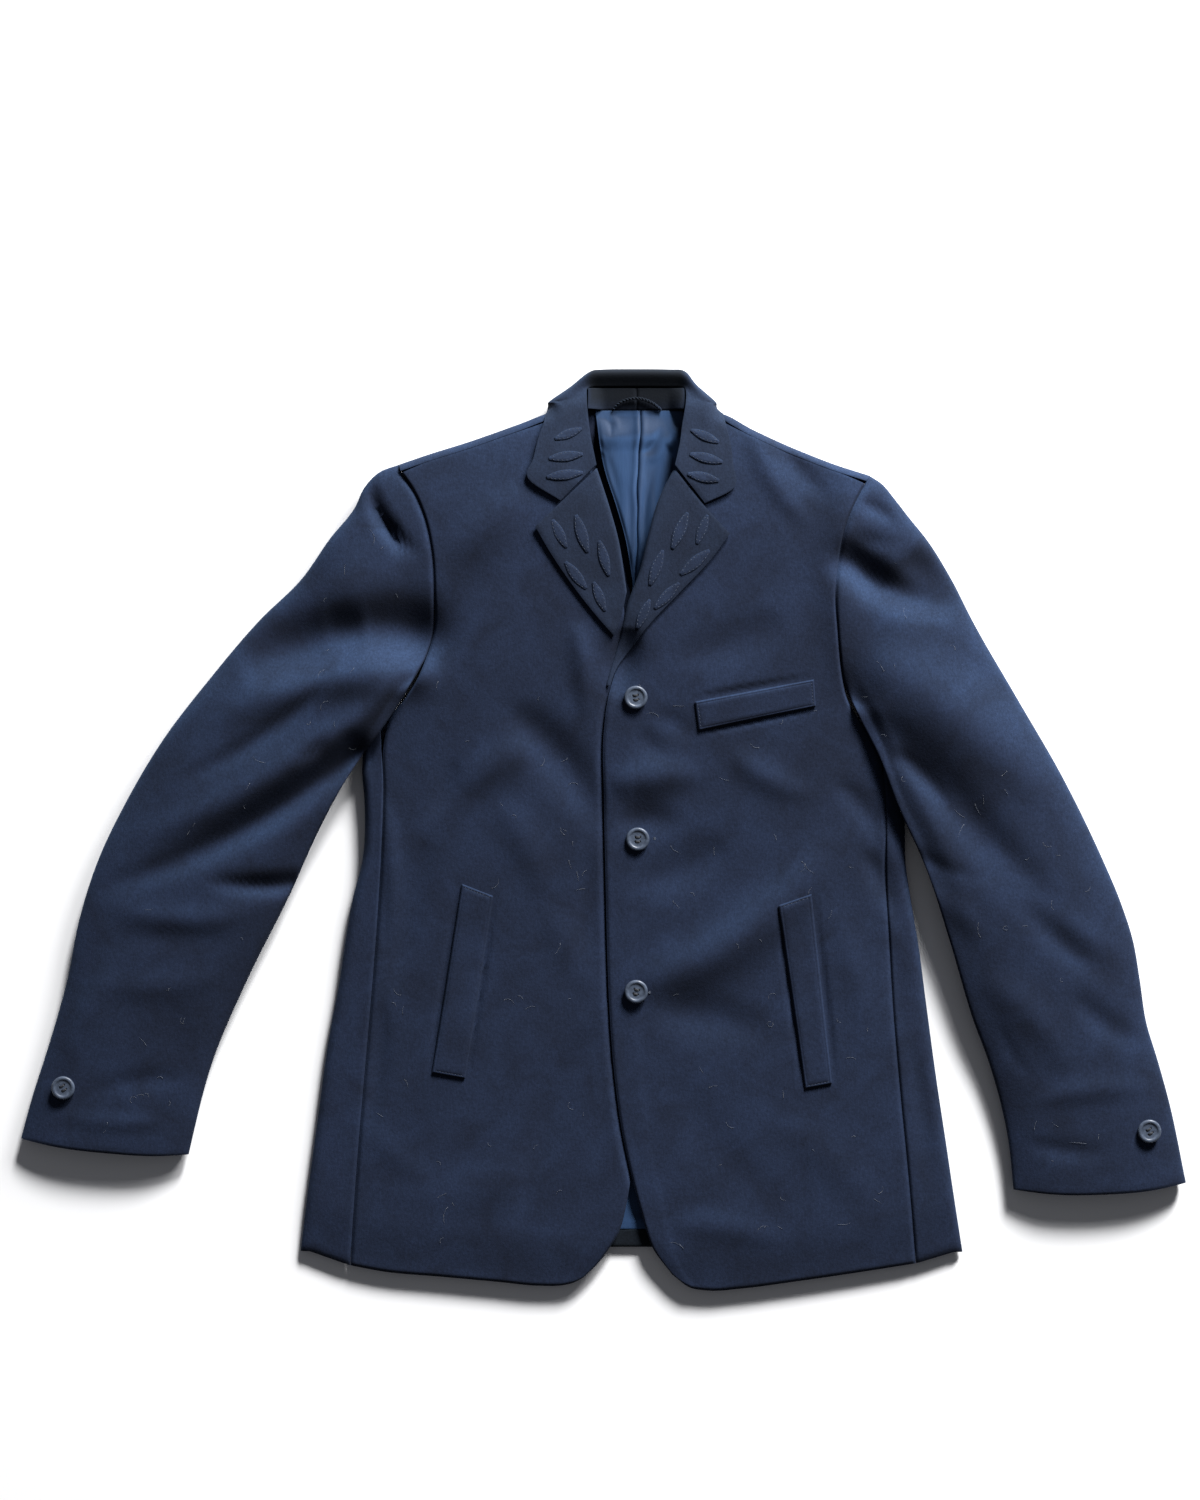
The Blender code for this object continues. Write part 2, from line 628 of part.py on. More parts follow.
def turned_button(name, diameter, x, y, z):
    radius = diameter / 2
    bm = bmesh.new()
    verts = [bm.verts.new((r * radius * MM, 0.0, h * radius * MM)) for r, h in BUTTON_PROFILE]
    for a, b in zip(verts, verts[1:]):
        bm.edges.new((a, b))
    mesh = bpy.data.meshes.new(name)
    bm.to_mesh(mesh)
    bm.free()
    mesh.materials.append(horn)
    button = bpy.data.objects.new(name, mesh)
    blazer.objects.link(button)
    button.location = Vector((x, y, z)) * MM
    turn = button.modifiers.new("Turned", "SCREW")
    turn.steps = 16
    turn.render_steps = 16
    turn.use_merge_vertices = True
    turn.merge_threshold = 0.00005
    turn.use_smooth_shade = True
    holes = button.modifiers.new("Holes", "BOOLEAN")
    holes.operation = "DIFFERENCE"
    holes.solver = "EXACT"
    holes.object = hole_cutter(name + "_holes", button.location)


def hole_cutter(name, location):
    spread = 1.9 * MM
    bm = bmesh.new()
    for sx in (-1, 1):
        for sy in (-1, 1):
            made = bmesh.ops.create_cone(bm, cap_ends=True, segments=6, radius1=0.9 * MM,
                                         radius2=0.9 * MM, depth=12 * MM)
            bmesh.ops.translate(bm, verts=made["verts"], vec=(sx * spread, sy * spread, 0.0))
    mesh = bpy.data.meshes.new(name)
    bm.to_mesh(mesh)
    bm.free()
    cutter = bpy.data.objects.new(name, mesh)
    cutters.objects.link(cutter)
    cutter.location = location
    cutter.hide_render = True
    cutter.display_type = "WIRE"
    return cutter


def highest_around(height, x, y, radius):
    ring = [(x + radius * math.cos(a), y + radius * math.sin(a))
            for a in [math.pi * k / 8 for k in range(16)]]
    return max(height(px, py) for px, py in ring + [(x, y)])


def cuff_height(plan, x, y):
    # The sleeve's top face under a point, found from its nearest place on the plan.
    best = None
    for i in range(41):
        for j in range(41):
            u = i / 40
            v = 0.7 + 0.3 * j / 40
            px, py = plan(u, v)
            distance = (px - x) ** 2 + (py - y) ** 2
            if best is None or distance < best[0]:
                best = (distance, u, v)
    u, v = best[1:]
    low, high = sleeve_heights(plan, u, v)[2:]
    dome = (1 - abs(1 - 2 * u) ** 2.5) ** (1 / 2.5)
    middle = (low + high) / 2
    return middle + (high - middle) * dome


def make_buttons():
    for i, (x, y) in enumerate(FRONT_BUTTONS):
        z = highest_around(face_height, x, y, BUTTON_DIAMETER / 2) + 0.4
        turned_button("button_front_%d" % (i + 1), BUTTON_DIAMETER, x, y, z)
    plans = {"button_cuff_left": left_sleeve_plan, "button_cuff_right": right_sleeve_plan}
    for name, (x, y) in CUFF_BUTTONS.items():
        plan = plans[name]
        z = highest_around(lambda px, py: cuff_height(plan, px, py), x, y, BUTTON_DIAMETER / 2)
        turned_button(name, BUTTON_DIAMETER, x, y, z + 0.5)


def collar_samples():
    return [Vector(collar_point(i / 80, j / 24)) for i in range(81) for j in range(25)
            if collar_point(i / 80, j / 24)[2] > 12]


def height_near(samples, x, y, reach=2.5):
    # The average height of the samples round a point, the nearest counting most.
    total = 0.0
    weights = 0.0
    for sample in samples:
        weight = math.exp(-((sample.x - x) ** 2 + (sample.y - y) ** 2) / reach ** 2)
        total += weight * sample.z
        weights += weight
    return total / weights


def make_leaves():
    samples = collar_samples()
    counts = {}
    for carrier, x0, y0, x1, y1, half in LEAVES:
        counts[carrier] = counts.get(carrier, 0) + 1
        base = Vector((x0, y0))
        along = Vector((x1, y1)) - base
        across = Vector((-along.y, along.x)).normalized()

        def place(u, v):
            width = half * (0.12 + 0.88 * math.sin(math.pi * min(0.04 + 0.92 * u, 1.0)) ** 0.9)
            spot = base + along * u + across * width * (2 * v - 1)
            if carrier == "collar":
                return spot.x, spot.y, height_near(samples, *spot) + LEAF_LIFT + 0.2
            return spot.x, spot.y, lapel_face(*spot) + LEAF_LIFT

        name = "leaf_%s_%d" % (carrier, counts[carrier])
        cloth(name, 6, 2, place, LEAF_THICKNESS, felt)


# ---- build ----


for old in list(bpy.data.objects):
    bpy.data.objects.remove(old, do_unlink=True)

blazer = new_collection("blazer")
cutters = new_collection("cutters")
wool = make_material("navy melton wool", (0.021, 0.030, 0.058), 0.95)
facing = make_material("navy melton facing", (0.018, 0.025, 0.048), 0.95)
satin = make_material("blue lining satin", (0.055, 0.098, 0.200), 0.45)
horn = make_material("dark moulded button", (0.040, 0.048, 0.066), 0.45)
felt = make_material("navy felt", (0.024, 0.033, 0.062), 0.95)


def front_shoulder(shoulder, corner):
    # The front stops below the shoulder edge, where the wrapped back meets it.
    return through([(x, y - SHOULDER_WRAP - 1.4) for x, y in shoulder[:-1]] + [corner])


left_side_curve = through(LEFT_SIDE_SEAM + LEFT_ARMHOLE[1:-1])
right_side_curve = through(RIGHT_SIDE_SEAM + RIGHT_ARMHOLE[1:-1])
left_front_plan = between_edges(through(LEFT_FRONT_EDGE), left_side_curve, through(LEFT_HEM),
                                front_shoulder(LEFT_SHOULDER, LEFT_ARMHOLE[-2]))
right_front_plan = between_edges(through(RIGHT_FRONT_EDGE), right_side_curve, through(RIGHT_HEM),
                                 front_shoulder(RIGHT_SHOULDER, RIGHT_ARMHOLE[-2]))

NECK_EDGE = [(0, 358.6), (28, 358.3), (60, 358.6)]
back_plan = between_edges(
    through(RIGHT_UNDER_SEAM + RIGHT_ARMHOLE), through(LEFT_UNDER_SEAM + LEFT_ARMHOLE), through(BACK_HEM),
    through(list(reversed(RIGHT_SHOULDER)) + NECK_EDGE + LEFT_SHOULDER))
left_under_x = lookup([(y, x) for x, y in LEFT_UNDER_SEAM + LEFT_ARMHOLE[:1]])
right_under_x = lookup([(y, x) for x, y in RIGHT_UNDER_SEAM + RIGHT_ARMHOLE[:1]])


def sleeve_plan(outer, inner, cuff, armhole, side):
    rim = through([(x + side * ARMHOLE_GAP, y) for x, y in reversed(armhole)])
    return between_edges(through(outer), through(inner), rim, through(cuff))


def sleeve_width(plan):
    return lambda v: (plan(1, v) - plan(0, v)).length


left_sleeve_plan = sleeve_plan(LEFT_SLEEVE_OUTER, LEFT_SLEEVE_INNER, LEFT_CUFF, LEFT_ARMHOLE, 1)
right_sleeve_plan = sleeve_plan(RIGHT_SLEEVE_OUTER, RIGHT_SLEEVE_INNER, RIGHT_CUFF, RIGHT_ARMHOLE, -1)

make_back()
make_fronts()
make_side("side_left", left_side_curve, through(LEFT_BODY_EDGE), left_under_x, 1, False)
make_side("side_right", right_side_curve, through(RIGHT_BODY_EDGE), right_under_x, -1, True)
make_sleeve("sleeve_left", left_sleeve_plan, sleeve_width(left_sleeve_plan), False)
make_sleeve("sleeve_right", right_sleeve_plan, sleeve_width(right_sleeve_plan), True)
left_lapel_plan = between_edges(through(LEFT_ROLL), through(LEFT_LAPEL_OUTER),
                                through([(1.7, 123), (5.2, 123)]),
                                through([(59.6, 308), (85.0, 276.2), (107, 252)]))
right_lapel_plan = between_edges(through(RIGHT_ROLL), through(RIGHT_LAPEL_OUTER),
                                 through([(19.3, 203), (15.3, 184), (8.6, 165)]),
                                 through([(-6, 308), (-36.6, 279), (-58.5, 258)]))
make_lapel("lapel_left", left_lapel_plan, False)
make_lapel("lapel_right", right_lapel_plan, True)
make_collar()
make_stand()
make_hanger_loop()
make_lining()
make_welts()
make_buttons()
make_leaves()
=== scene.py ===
# A navy wool blazer lying flat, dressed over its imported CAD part.
# Tables are in millimetres, meshes in metres. +X is to the right, +Y to the collar.
# "Left" and "right" are the wearer's own sides, so the left front is towards +X.
import math
import random

import bmesh
import bpy
from mathutils import Matrix, Vector


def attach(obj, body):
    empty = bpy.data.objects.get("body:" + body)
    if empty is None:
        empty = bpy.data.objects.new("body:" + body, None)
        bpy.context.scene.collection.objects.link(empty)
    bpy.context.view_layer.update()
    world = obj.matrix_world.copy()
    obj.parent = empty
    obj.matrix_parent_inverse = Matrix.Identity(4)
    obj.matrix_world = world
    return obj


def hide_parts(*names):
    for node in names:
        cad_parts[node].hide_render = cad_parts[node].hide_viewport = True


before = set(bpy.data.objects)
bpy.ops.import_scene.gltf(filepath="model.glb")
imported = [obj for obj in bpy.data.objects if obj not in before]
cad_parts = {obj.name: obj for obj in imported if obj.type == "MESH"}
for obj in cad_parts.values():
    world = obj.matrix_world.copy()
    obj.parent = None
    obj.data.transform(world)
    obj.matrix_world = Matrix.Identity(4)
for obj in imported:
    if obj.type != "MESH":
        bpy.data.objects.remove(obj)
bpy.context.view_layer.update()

mm = 0.001
wall = {"wool": 2.0, "facing": 1.7, "collar": 1.8, "lining": 1.0, "leaf": 0.8}
underlapDrop = 3.7     # the right front lies this much lower under the left one
lapelLift = 2.3        # from the front's face to the lapel's face
collarEase = 0.9
weltLift = 2.2
seamGap = 0.3
neckMiddle = 27.7      # x of the neck's middle

# Height of the front's face above the floor, down the middle of the body.
crown = [  # y, height
    (-400, 11.0), (-250, 12.5), (-100, 15.0), (0, 18.0), (100, 22.0),
    (200, 25.0), (290, 25.0), (330, 21.0), (360, 15.5), (400, 12.0),
]
halfWidth = [  # y, half of the body's width
    (-400, 290), (-200, 262), (-20, 240), (100, 235), (180, 330), (400, 360),
]
# Edges of the pieces, seen from above.
leftFrontEdge = [  # x, y, up from the hem to the shoulder seam
    (58.5, -381.8), (42.1, -359.5), (31.8, -327.7), (23.2, -295), (15.5, -258.9),
    (8.6, -207.3), (4.3, -147.1), (1.7, -61.1), (0, 24.9), (-0.4, 80.8), (3.5, 112),
    (11, 138.5), (16.5, 158.2), (25.1, 194.4), (34.6, 220.2), (41.5, 248.5),
    (50.9, 281.2), (64, 308), (82, 333), (93, 351.5),
]
rightFrontEdge = [
    (-17.2, -384.0), (-4.3, -371.0), (4.0, -359.6), (12.5, -345.7), (18.8, -323.4),
    (22.4, -301.9), (27.5, -258.9), (31, -198.7), (32.7, -147.1), (33.5, -61.1),
    (33.5, 24.9), (32.7, 80.8), (31, 119.5), (25, 145.3), (18, 179.7), (14, 216.7),
    (7, 248.5), (-0.5, 276.1), (-9, 302), (-26, 332), (-37, 351.5),
]
leftSideSeam = [  # hem up to the armhole's lowest point
    (267.5, -372.4), (260.6, -293.3), (254.6, -233.1), (248.5, -164.3), (244.2, -95.5),
    (240.8, -35.3), (240.8, 7.7), (239.6, 37.8), (234, 66), (222.5, 88), (211, 104),
    (206, 116), (203.6, 126.6),
]
rightSideSeam = [
    (-217.6, -374.1), (-209.8, -267.5), (-203.8, -198.7), (-197.8, -129.9),
    (-192.6, -61.1), (-190.1, -18.1), (-188.3, 33.5), (-188.6, 70), (-182, 96),
    (-168.5, 114), (-158.8, 129), (-152, 146.3),
]
leftArmhole = [  # lowest point up to the shoulder
    (203.6, 126.6), (198.7, 171.1), (196.9, 198.7), (200.4, 231.3), (204.7, 256.3),
    (211.6, 274.3), (222.2, 294.8), (227, 302.7),
]
rightArmhole = [
    (-152, 146.3), (-145.3, 171.1), (-144.5, 198.7), (-147.1, 241.7),
    (-153.1, 267.5), (-163.4, 290.7), (-172.8, 304.2), (-175.4, 312.2),
]
leftShoulder = [(93, 359.5), (129, 341.4), (175.4, 320.8), (202.1, 310.5), (227, 302.7)]
rightShoulder = [(-37, 359.5), (-74, 346.6), (-117.8, 331.1), (-150.5, 320.8), (-175.4, 312.2)]
leftHem = [
    (58.5, -381.8), (74, -393), (90.3, -395.6), (117, -393.9), (163.4, -387.9),
    (211.6, -381), (267.5, -372.4),
]
rightHem = [
    (-17.2, -384.0), (-25.3, -388.4), (-36, -391.0), (-55, -391.4), (-92.9, -387.9), (-141, -383.6),
    (-189.2, -379.3), (-217.6, -374.1),
]
leftBodyEdge = [  # the body's outline, hem up to below the armhole
    (307.9, -362.9), (301, -319.1), (293.3, -267.5), (285.5, -215.9), (276.1, -147.1),
    (269.2, -95.5), (263.2, -61.1), (258.5, -26.7), (258, 0), (257, 29), (250, 60),
    (241, 80),
]
rightBodyEdge = [
    (-260.6, -362.1), (-255.4, -319.1), (-246, -250.3), (-236.5, -181.5), (-227, -129.9),
    (-221.9, -95.5), (-215.9, -61.1), (-207.3, -26.7), (-205.5, 24.9), (-207.5, 52),
    (-204, 80), (-197, 101),
]
leftUnderSeam = [  # side panel to back, on the underside, up to the armhole
    (283, -362), (268, -250), (251, -130), (239, -50), (232, 20), (224, 75),
]
rightUnderSeam = [(-236, -362), (-222, -250), (-202, -130), (-189, -50), (-182, 20), (-176, 84)]
leftSleeveOuter = [  # shoulder down to the cuff
    (228, 302.4), (239.1, 295), (247.7, 284.7), (262.3, 265.7), (276.1, 248.5),
    (297.6, 214.1), (314.8, 179.7), (354.3, 110.9), (393.9, 42.1), (427.4, -26.7),
    (442, -61.1), (453.2, -95.5), (459.2, -129.9), (464.4, -164.3), (474.7, -198.7),
    (484.2, -233.1), (498.8, -302.7),
]
leftSleeveInner = [
    (205.2, 125.6), (218.4, 95.5), (235.6, 61.1), (252.8, 16.3), (272.6, -26.7),
    (295.8, -95.5), (316.5, -164.3), (329.4, -198.7), (346.6, -267.5), (350.9, -308.7),
]
leftCuff = [(498.8, -302.7), (469.6, -308.7), (426.6, -312.2), (383.6, -312.2), (350.9, -308.7)]
rightSleeveOuter = [
    (-176.4, 311.9), (-193.5, 305.3), (-206.4, 291.5), (-213.3, 276.1), (-234.8, 248.5),
    (-258.9, 214.1), (-294.1, 179.7), (-338, 128.1), (-377.5, 76.5), (-408.5, 24.9),
    (-433.4, -26.7), (-449.8, -78.3), (-460.1, -129.9), (-474.7, -181.5),
    (-491.1, -233.1), (-499.7, -264.9),
]
rightSleeveInner = [
    (-153.6, 145.3), (-171.1, 114.4), (-190.9, 84.3), (-211.6, 56.8), (-239.9, 7.7),
    (-271.8, -61.1), (-306.2, -129.9), (-335.4, -198.7), (-353.5, -267.5), (-356, -278.6),
]
rightCuff = [(-499.7, -264.9), (-467.8, -271.8), (-424.8, -276.9), (-381.8, -279.5), (-356, -278.6)]
backHem = [(-236, -361.5), (-120, -360), (24.9, -359), (160, -360), (283, -362)]
sleeveHeight = [  # fraction of the sleeve's length, height of its top face
    (0.0, 26.0), (0.12, 30.0), (0.35, 30.0), (0.55, 26.0), (0.8, 20.0), (1.0, 16.5),
]

leftRoll = [  # the lapel's folded edge, up from the closing
    (1.7, 123), (6.5, 140), (12, 158.2), (20.6, 194.4), (30.1, 220.2), (37, 248.5),
    (46.4, 281.2), (59.6, 308),
]
leftLapelOuter = [
    (5.2, 123), (10.5, 137), (20.5, 151.5), (37, 172.9), (64.5, 202.1), (91.6, 230.9), (107, 252),
]
rightRoll = [  # up from where it goes under the left front
    (19.3, 203), (17.2, 218), (12, 248.5), (4.3, 276.1), (-6, 308),
]
rightLapelOuter = [
    (8.6, 165), (-8, 184), (-26.1, 207.3), (-46, 236.5), (-58.5, 258),
]

# Folds and creases: both ends, how far the middle bows sideways (+ is to the left of
# the way it runs), half width, height, and 1 where it starts full at a seam.
creaseStrength = 1.45
creases = [
    # right sleeve, from the shoulder down
    (-164, 166, -240, 172, -3, 26, -9.5, 1), (-204, 166, -312, 136, -6, 26, -9.0, 0),
    (-199, 294, -160, 236, -9, 6, -5.0, 0),
    (-186, 262, -176, 232, 3, 4, -1.6, 0), (-212, 268, -262, 206, -8, 14, 1.8, 0),
    (-160, 134, -330, 92, -12, 17, 4.0, 1), (-236, 124, -356, 44, 7, 8, -2.6, 0),
    (-182, 116, -392, -6, 10, 14, 3.2, 0), (-236, 78, -262, 58, 2, 5, -1.6, 0),
    (-214, 66, -428, -50, 14, 13, -6.2, 1), (-268, -46, -338, -44, 3, 8, -4.2, 1),
    (-300, -70, -420, -66, 9, 11, 1.5, 0), (-322, -96, -440, -104, -8, 11, -0.6, 0),
    (-330, -124, -430, -132, 6, 12, 1.0, 0), (-362, -150, -392, -232, 7, 14, -0.8, 0),
    (-420, -120, -462, -214, -5, 12, 1.4, 0), (-362, -214, -440, -226, -5, 8, -0.9, 0),
    (-378, -250, -470, -244, 3, 6, 0.8, 0), (-330, 120, -404, 30, -7, 9, 1.3, 0),
    # left sleeve
    (212, 228, 304, 188, -9, 15, -8.0, 1), (256, 234, 306, 192, -2, 19, -5.5, 0),
    (218, 278, 246, 262, 3, 6, -1.8, 0),
    (214, 252, 250, 244, -3, 6, -1.4, 0), (226, 144, 384, 24, 9, 31, 5.1, 0),
    (226, 100, 404, -106, 4, 19, -4.1, 0), (300, 150, 372, 82, 6, 10, -0.7, 0),
    (330, -20, 440, -104, -10, 12, 1.6, 0), (360, -66, 440, -128, -8, 9, -1.0, 0),
    (286, -60, 322, -96, 4, 12, 1.2, 1), (272, -24, 340, -40, -6, 6, -0.8, 1),
    (324, -128, 398, -206, 8, 16, 1.5, 0), (338, -168, 366, -214, -3, 6, -0.6, 0),
    (400, -140, 462, -182, -6, 10, -1.6, 0), (372, -232, 470, -222, 5, 9, 1.2, 0),
    (364, -268, 430, -276, -3, 7, -1.0, 0), (254, 60, 300, 6, 5, 7, -1.6, 1),
    # right front
    (-80, 102, -4, 2, 9, 18, -3.2, 0), (-26, 176, -16, 96, 4, 10, 2.0, 0),
    (-60, 70, -120, 30, -6, 16, 1.6, 0), (-14, -20, -22, -130, 4, 13, -1.1, 0),
    (-90, 20, -52, -60, 8, 15, 1.2, 0), (-52, -70, -10, -150, 6, 14, 0.7, 0),
    (-150, -10, -176, -140, -5, 14, -1.4, 0), (-186, 20, -182, -90, 3, 7, 1.2, 0),
    (-120, -120, -170, -260, 9, 20, 0.9, 0), (-10, -170, -70, -330, -8, 16, -1.4, 0),
    (-50, -290, -190, -310, 10, 18, 0.6, 0), (-140, 150, -96, 230, 6, 16, -1.2, 0),
    (-70, 290, -136, 236, 5, 18, 1.4, 0), (-128, 60, -150, 10, 3, 8, -1.0, 0),
    (-190, -150, -202, -260, 3, 8, -1.2, 0), (-150, -300, -206, -250, 4, 11, 0.5, 0),
    # left front
    (20, 172, 8, 112, 3, 13, -5.5, 0), (208, 326, 202, 128, 0, 20, 3.2, 0), (6, 38, 82, 46, 3, 15, 2.6, 0),
    (10, 4, 62, 4, 4, 14, -1.7, 0), (30, -132, 188, -18, -20, 21, 4.0, 0),
    (104, -12, 28, -46, 6, 18, -1.7, 0), (44, -156, 140, -176, 5, 18, -1.8, 0),
    (44, 98, 78, 76, 3, 9, -0.8, 0), (30, 84, 56, 62, -3, 9, -0.7, 0),
    (124, 344, 172, 262, -6, 10, 1.8, 0), (148, 338, 190, 284, -5, 9, -1.6, 0),
    (150, 180, 60, 150, 8, 18, -1.3, 0), (110, 66, 176, 30, -6, 12, 1.5, 0),
    (200, 40, 236, -8, 4, 10, -1.4, 0), (222, -20, 248, -74, 3, 9, -1.5, 0),
    (236, 4, 250, -40, 3, 7, 1.0, 0), (244, -90, 252, -180, 3, 9, -0.9, 0),
    (196, -70, 226, -190, 5, 13, 0.7, 0), (60, -210, 150, -320, -12, 22, -0.7, 0),
    (150, -250, 236, -330, 6, 17, 0.7, 0), (60, -340, 150, -352, 5, 12, 1.0, 0),
    # the pocket openings beside their welts
    (-149, -208, -123.4, -47, 0, 2.6, -1.5, 0), (197.4, -217.6, 179.4, -55, 0, 2.6, -1.5, 0),
    (78, 111.4, 179, 130.2, 0, 2.4, -1.3, 0), (-117.4, -213, -93.2, -56, 0, 2.2, -1.6, 0),
    (170.6, -221, 147.4, -64, 0, 2.2, -1.4, 0), (80, 82.8, 181, 103.6, 0, 2.2, -1.0, 0),
    (264, -190, 276, -300, 3, 8, -0.9, 0),
]
# Ripples pressed into the underside, which rise off the floor by this much.
backRipples = [
    (-190, 210, -60, 150, 10, 12, 1.3, 0), (-150, 60, 40, 20, -12, 14, 1.0, 0),
    (-180, -90, -20, -60, 8, 12, 1.1, 0), (10, -150, 190, -110, -10, 15, 1.0, 0),
    (-120, -240, 60, -300, 12, 16, 0.9, 0), (60, 240, 180, 190, -8, 12, 1.3, 0),
    (70, 90, 210, 20, 10, 14, 1.1, 0), (120, -230, 250, -300, 8, 13, 0.9, 0),
    (-20, 300, 60, 230, 6, 13, 0.8, 0),
    (-200, 200, -270, 130, 8, 10, 1.3, 0), (-250, 80, -340, 60, -6, 11, 1.2, 0),
    (-300, -60, -400, -110, 8, 10, 1.1, 0), (-360, -180, -440, -220, 6, 9, 0.9, 0),
    (230, 190, 300, 130, -8, 10, 1.3, 0), (280, 40, 370, 20, 8, 11, 1.2, 0),
    (320, -100, 420, -130, -8, 10, 1.1, 0), (370, -220, 450, -250, 6, 9, 0.9, 0),
]


def through(rows):
    # A smooth curve through the rows, as a function of the fraction of its length.
    points = [Vector(row) for row in rows]
    keys = [0.0]
    for a, b in zip(points, points[1:]):
        keys.append(keys[-1] + (b - a).length)
    total = keys[-1]
    keys = [k / total for k in keys]
    slopes = slopesOf(keys, points)
    return lambda t: hermite(keys, points, slopes, t)


def slopesOf(keys, values):
    # Each inner point's slope, weighted by how near its neighbours are.
    last = len(keys) - 1
    slopes = [(values[1] - values[0]) / (keys[1] - keys[0])]
    for i in range(1, last):
        before = keys[i] - keys[i - 1]
        after = keys[i + 1] - keys[i]
        back = (values[i] - values[i - 1]) / before
        ahead = (values[i + 1] - values[i]) / after
        slopes.append((back * after + ahead * before) / (before + after))
    slopes.append((values[last] - values[last - 1]) / (keys[last] - keys[last - 1]))
    return slopes


def hermite(keys, values, slopes, t):
    t = min(max(t, keys[0]), keys[-1])
    i = 0
    while i < len(keys) - 2 and t > keys[i + 1]:
        i += 1
    span = keys[i + 1] - keys[i]
    s = (t - keys[i]) / span
    return (values[i] * (2 * s ** 3 - 3 * s ** 2 + 1) + slopes[i] * (span * (s ** 3 - 2 * s ** 2 + s))
            + values[i + 1] * (3 * s ** 2 - 2 * s ** 3) + slopes[i + 1] * (span * (s ** 3 - s ** 2)))


def lookup(rows):
    # A smooth value read from rows of key and value.
    keys = [row[0] for row in rows]
    values = [row[1] for row in rows]
    slopes = slopesOf(keys, values)
    return lambda key: hermite(keys, values, slopes, key)


def smoothStep(value, low, high):
    s = min(max((value - low) / (high - low), 0.0), 1.0)
    return s * s * (3 - 2 * s)


def smoothMax(a, b, width):
    return 0.5 * (a + b + math.sqrt((a - b) ** 2 + width ** 2))


def betweenEdges(left, right, bottom, top):
    # A sheet stretched between four edge curves; u runs left to right, v upwards.
    def point(u, v):
        ruled = left(v) * (1 - u) + right(v) * u
        ends = bottom(u) * (1 - v) + top(u) * v
        corners = ((left(0) * (1 - u) + right(0) * u) * (1 - v)
                   + (left(1) * (1 - u) + right(1) * u) * v)
        return ruled + ends - corners
    return point


bowSteps = 8          # straight parts that a bowed crease is drawn with
creaseReach = 2.4     # in half widths, beyond which a crease has no height


def linesOf(rows):
    # Each crease as points along its bowed line, with the box that it can reach.
    found = []
    for x0, y0, x1, y1, bow, half, height, full in rows:
        length = math.hypot(x1 - x0, y1 - y0)
        sx, sy = -(y1 - y0) / length, (x1 - x0) / length
        points = []
        for i in range(bowSteps + 1):
            t = i / bowSteps
            side = bow * 4 * t * (1 - t)
            points.append((x0 + (x1 - x0) * t + sx * side, y0 + (y1 - y0) * t + sy * side))
        reach = creaseReach * half
        xs = [p[0] for p in points]
        ys = [p[1] for p in points]
        found.append((points, half, height, full, min(xs) - reach, max(xs) + reach,
                      min(ys) - reach, max(ys) + reach))
    return found


def creasesAt(lines, x, y):
    # Each one fades out along its length, at both ends or away from its seam.
    total = 0.0
    for points, half, height, full, lowX, highX, lowY, highY in lines:
        if x < lowX or x > highX or y < lowY or y > highY:
            continue
        best = 1e9
        along = 0.0
        for i in range(bowSteps):
            ax, ay = points[i]
            bx, by = points[i + 1]
            dx, dy = bx - ax, by - ay
            t = min(max(((x - ax) * dx + (y - ay) * dy) / (dx * dx + dy * dy), 0.0), 1.0)
            gap = (x - ax - dx * t) ** 2 + (y - ay - dy * t) ** 2
            if gap < best:
                best = gap
                along = (i + t) / bowSteps
        phase = 0.45 + 0.53 * along if full else 0.04 + 0.92 * along ** 0.85
        fade = math.sin(math.pi * phase)
        total += height * fade * math.exp(-best / (half * (0.6 + 0.4 * fade)) ** 2)
    return total * creaseStrength


crownAt = lookup(crown)
halfWidthAt = lookup(halfWidth)
sleeveHeightAt = lookup(sleeveHeight)
leftEdgeX = lookup([(y, x) for x, y in leftFrontEdge])
leftBodyX = lookup([(y, x) for x, y in leftBodyEdge])
rightBodyX = lookup([(y, x) for x, y in rightBodyEdge])
creaseLines = linesOf(creases)
rippleLines = linesOf(backRipples)
bodyForm = {"middle": 22.0, "fall": 0.22, "furthest": 1.15, "sleeveRest": 1.8, "neckRise": 2.5,
            "underlap": (-5, -0.3)}
# Where one form gives way to another, in mm: where it starts and where it is full. Those
# that end in Left or Down are read against -x or -y.
zones = {"sleeveInward": (-62, -14), "leftSleeveDown": (-134, -98), "rightSleeveDown": (-152, -116),
         "neckUp": (322, 336), "neckRight": (-92, -74), "neckLeft": (-142, -124),
         "napeRight": (-50, -32), "napeLeft": (-106, -88), "flatBackDown": (-320, -250),
         "liningUp": (190, 240), "liningDown": (-358, -334), "pleatUp": (190, 225), "liningFlat": (44, 62)}


def faceHeight(x, y):
    # The front's face, with its folds, above the floor.
    reach = abs(x - bodyForm["middle"]) / halfWidthAt(y)
    dome = 1 - bodyForm["fall"] * min(reach, bodyForm["furthest"]) ** 4
    return crownAt(y) * dome + creasesAt(creaseLines, x, y)


def rightFrontHeight(x, y):
    under = smoothStep(x - leftEdgeX(y), *bodyForm["underlap"])
    return faceHeight(x, y) - underlapDrop * under


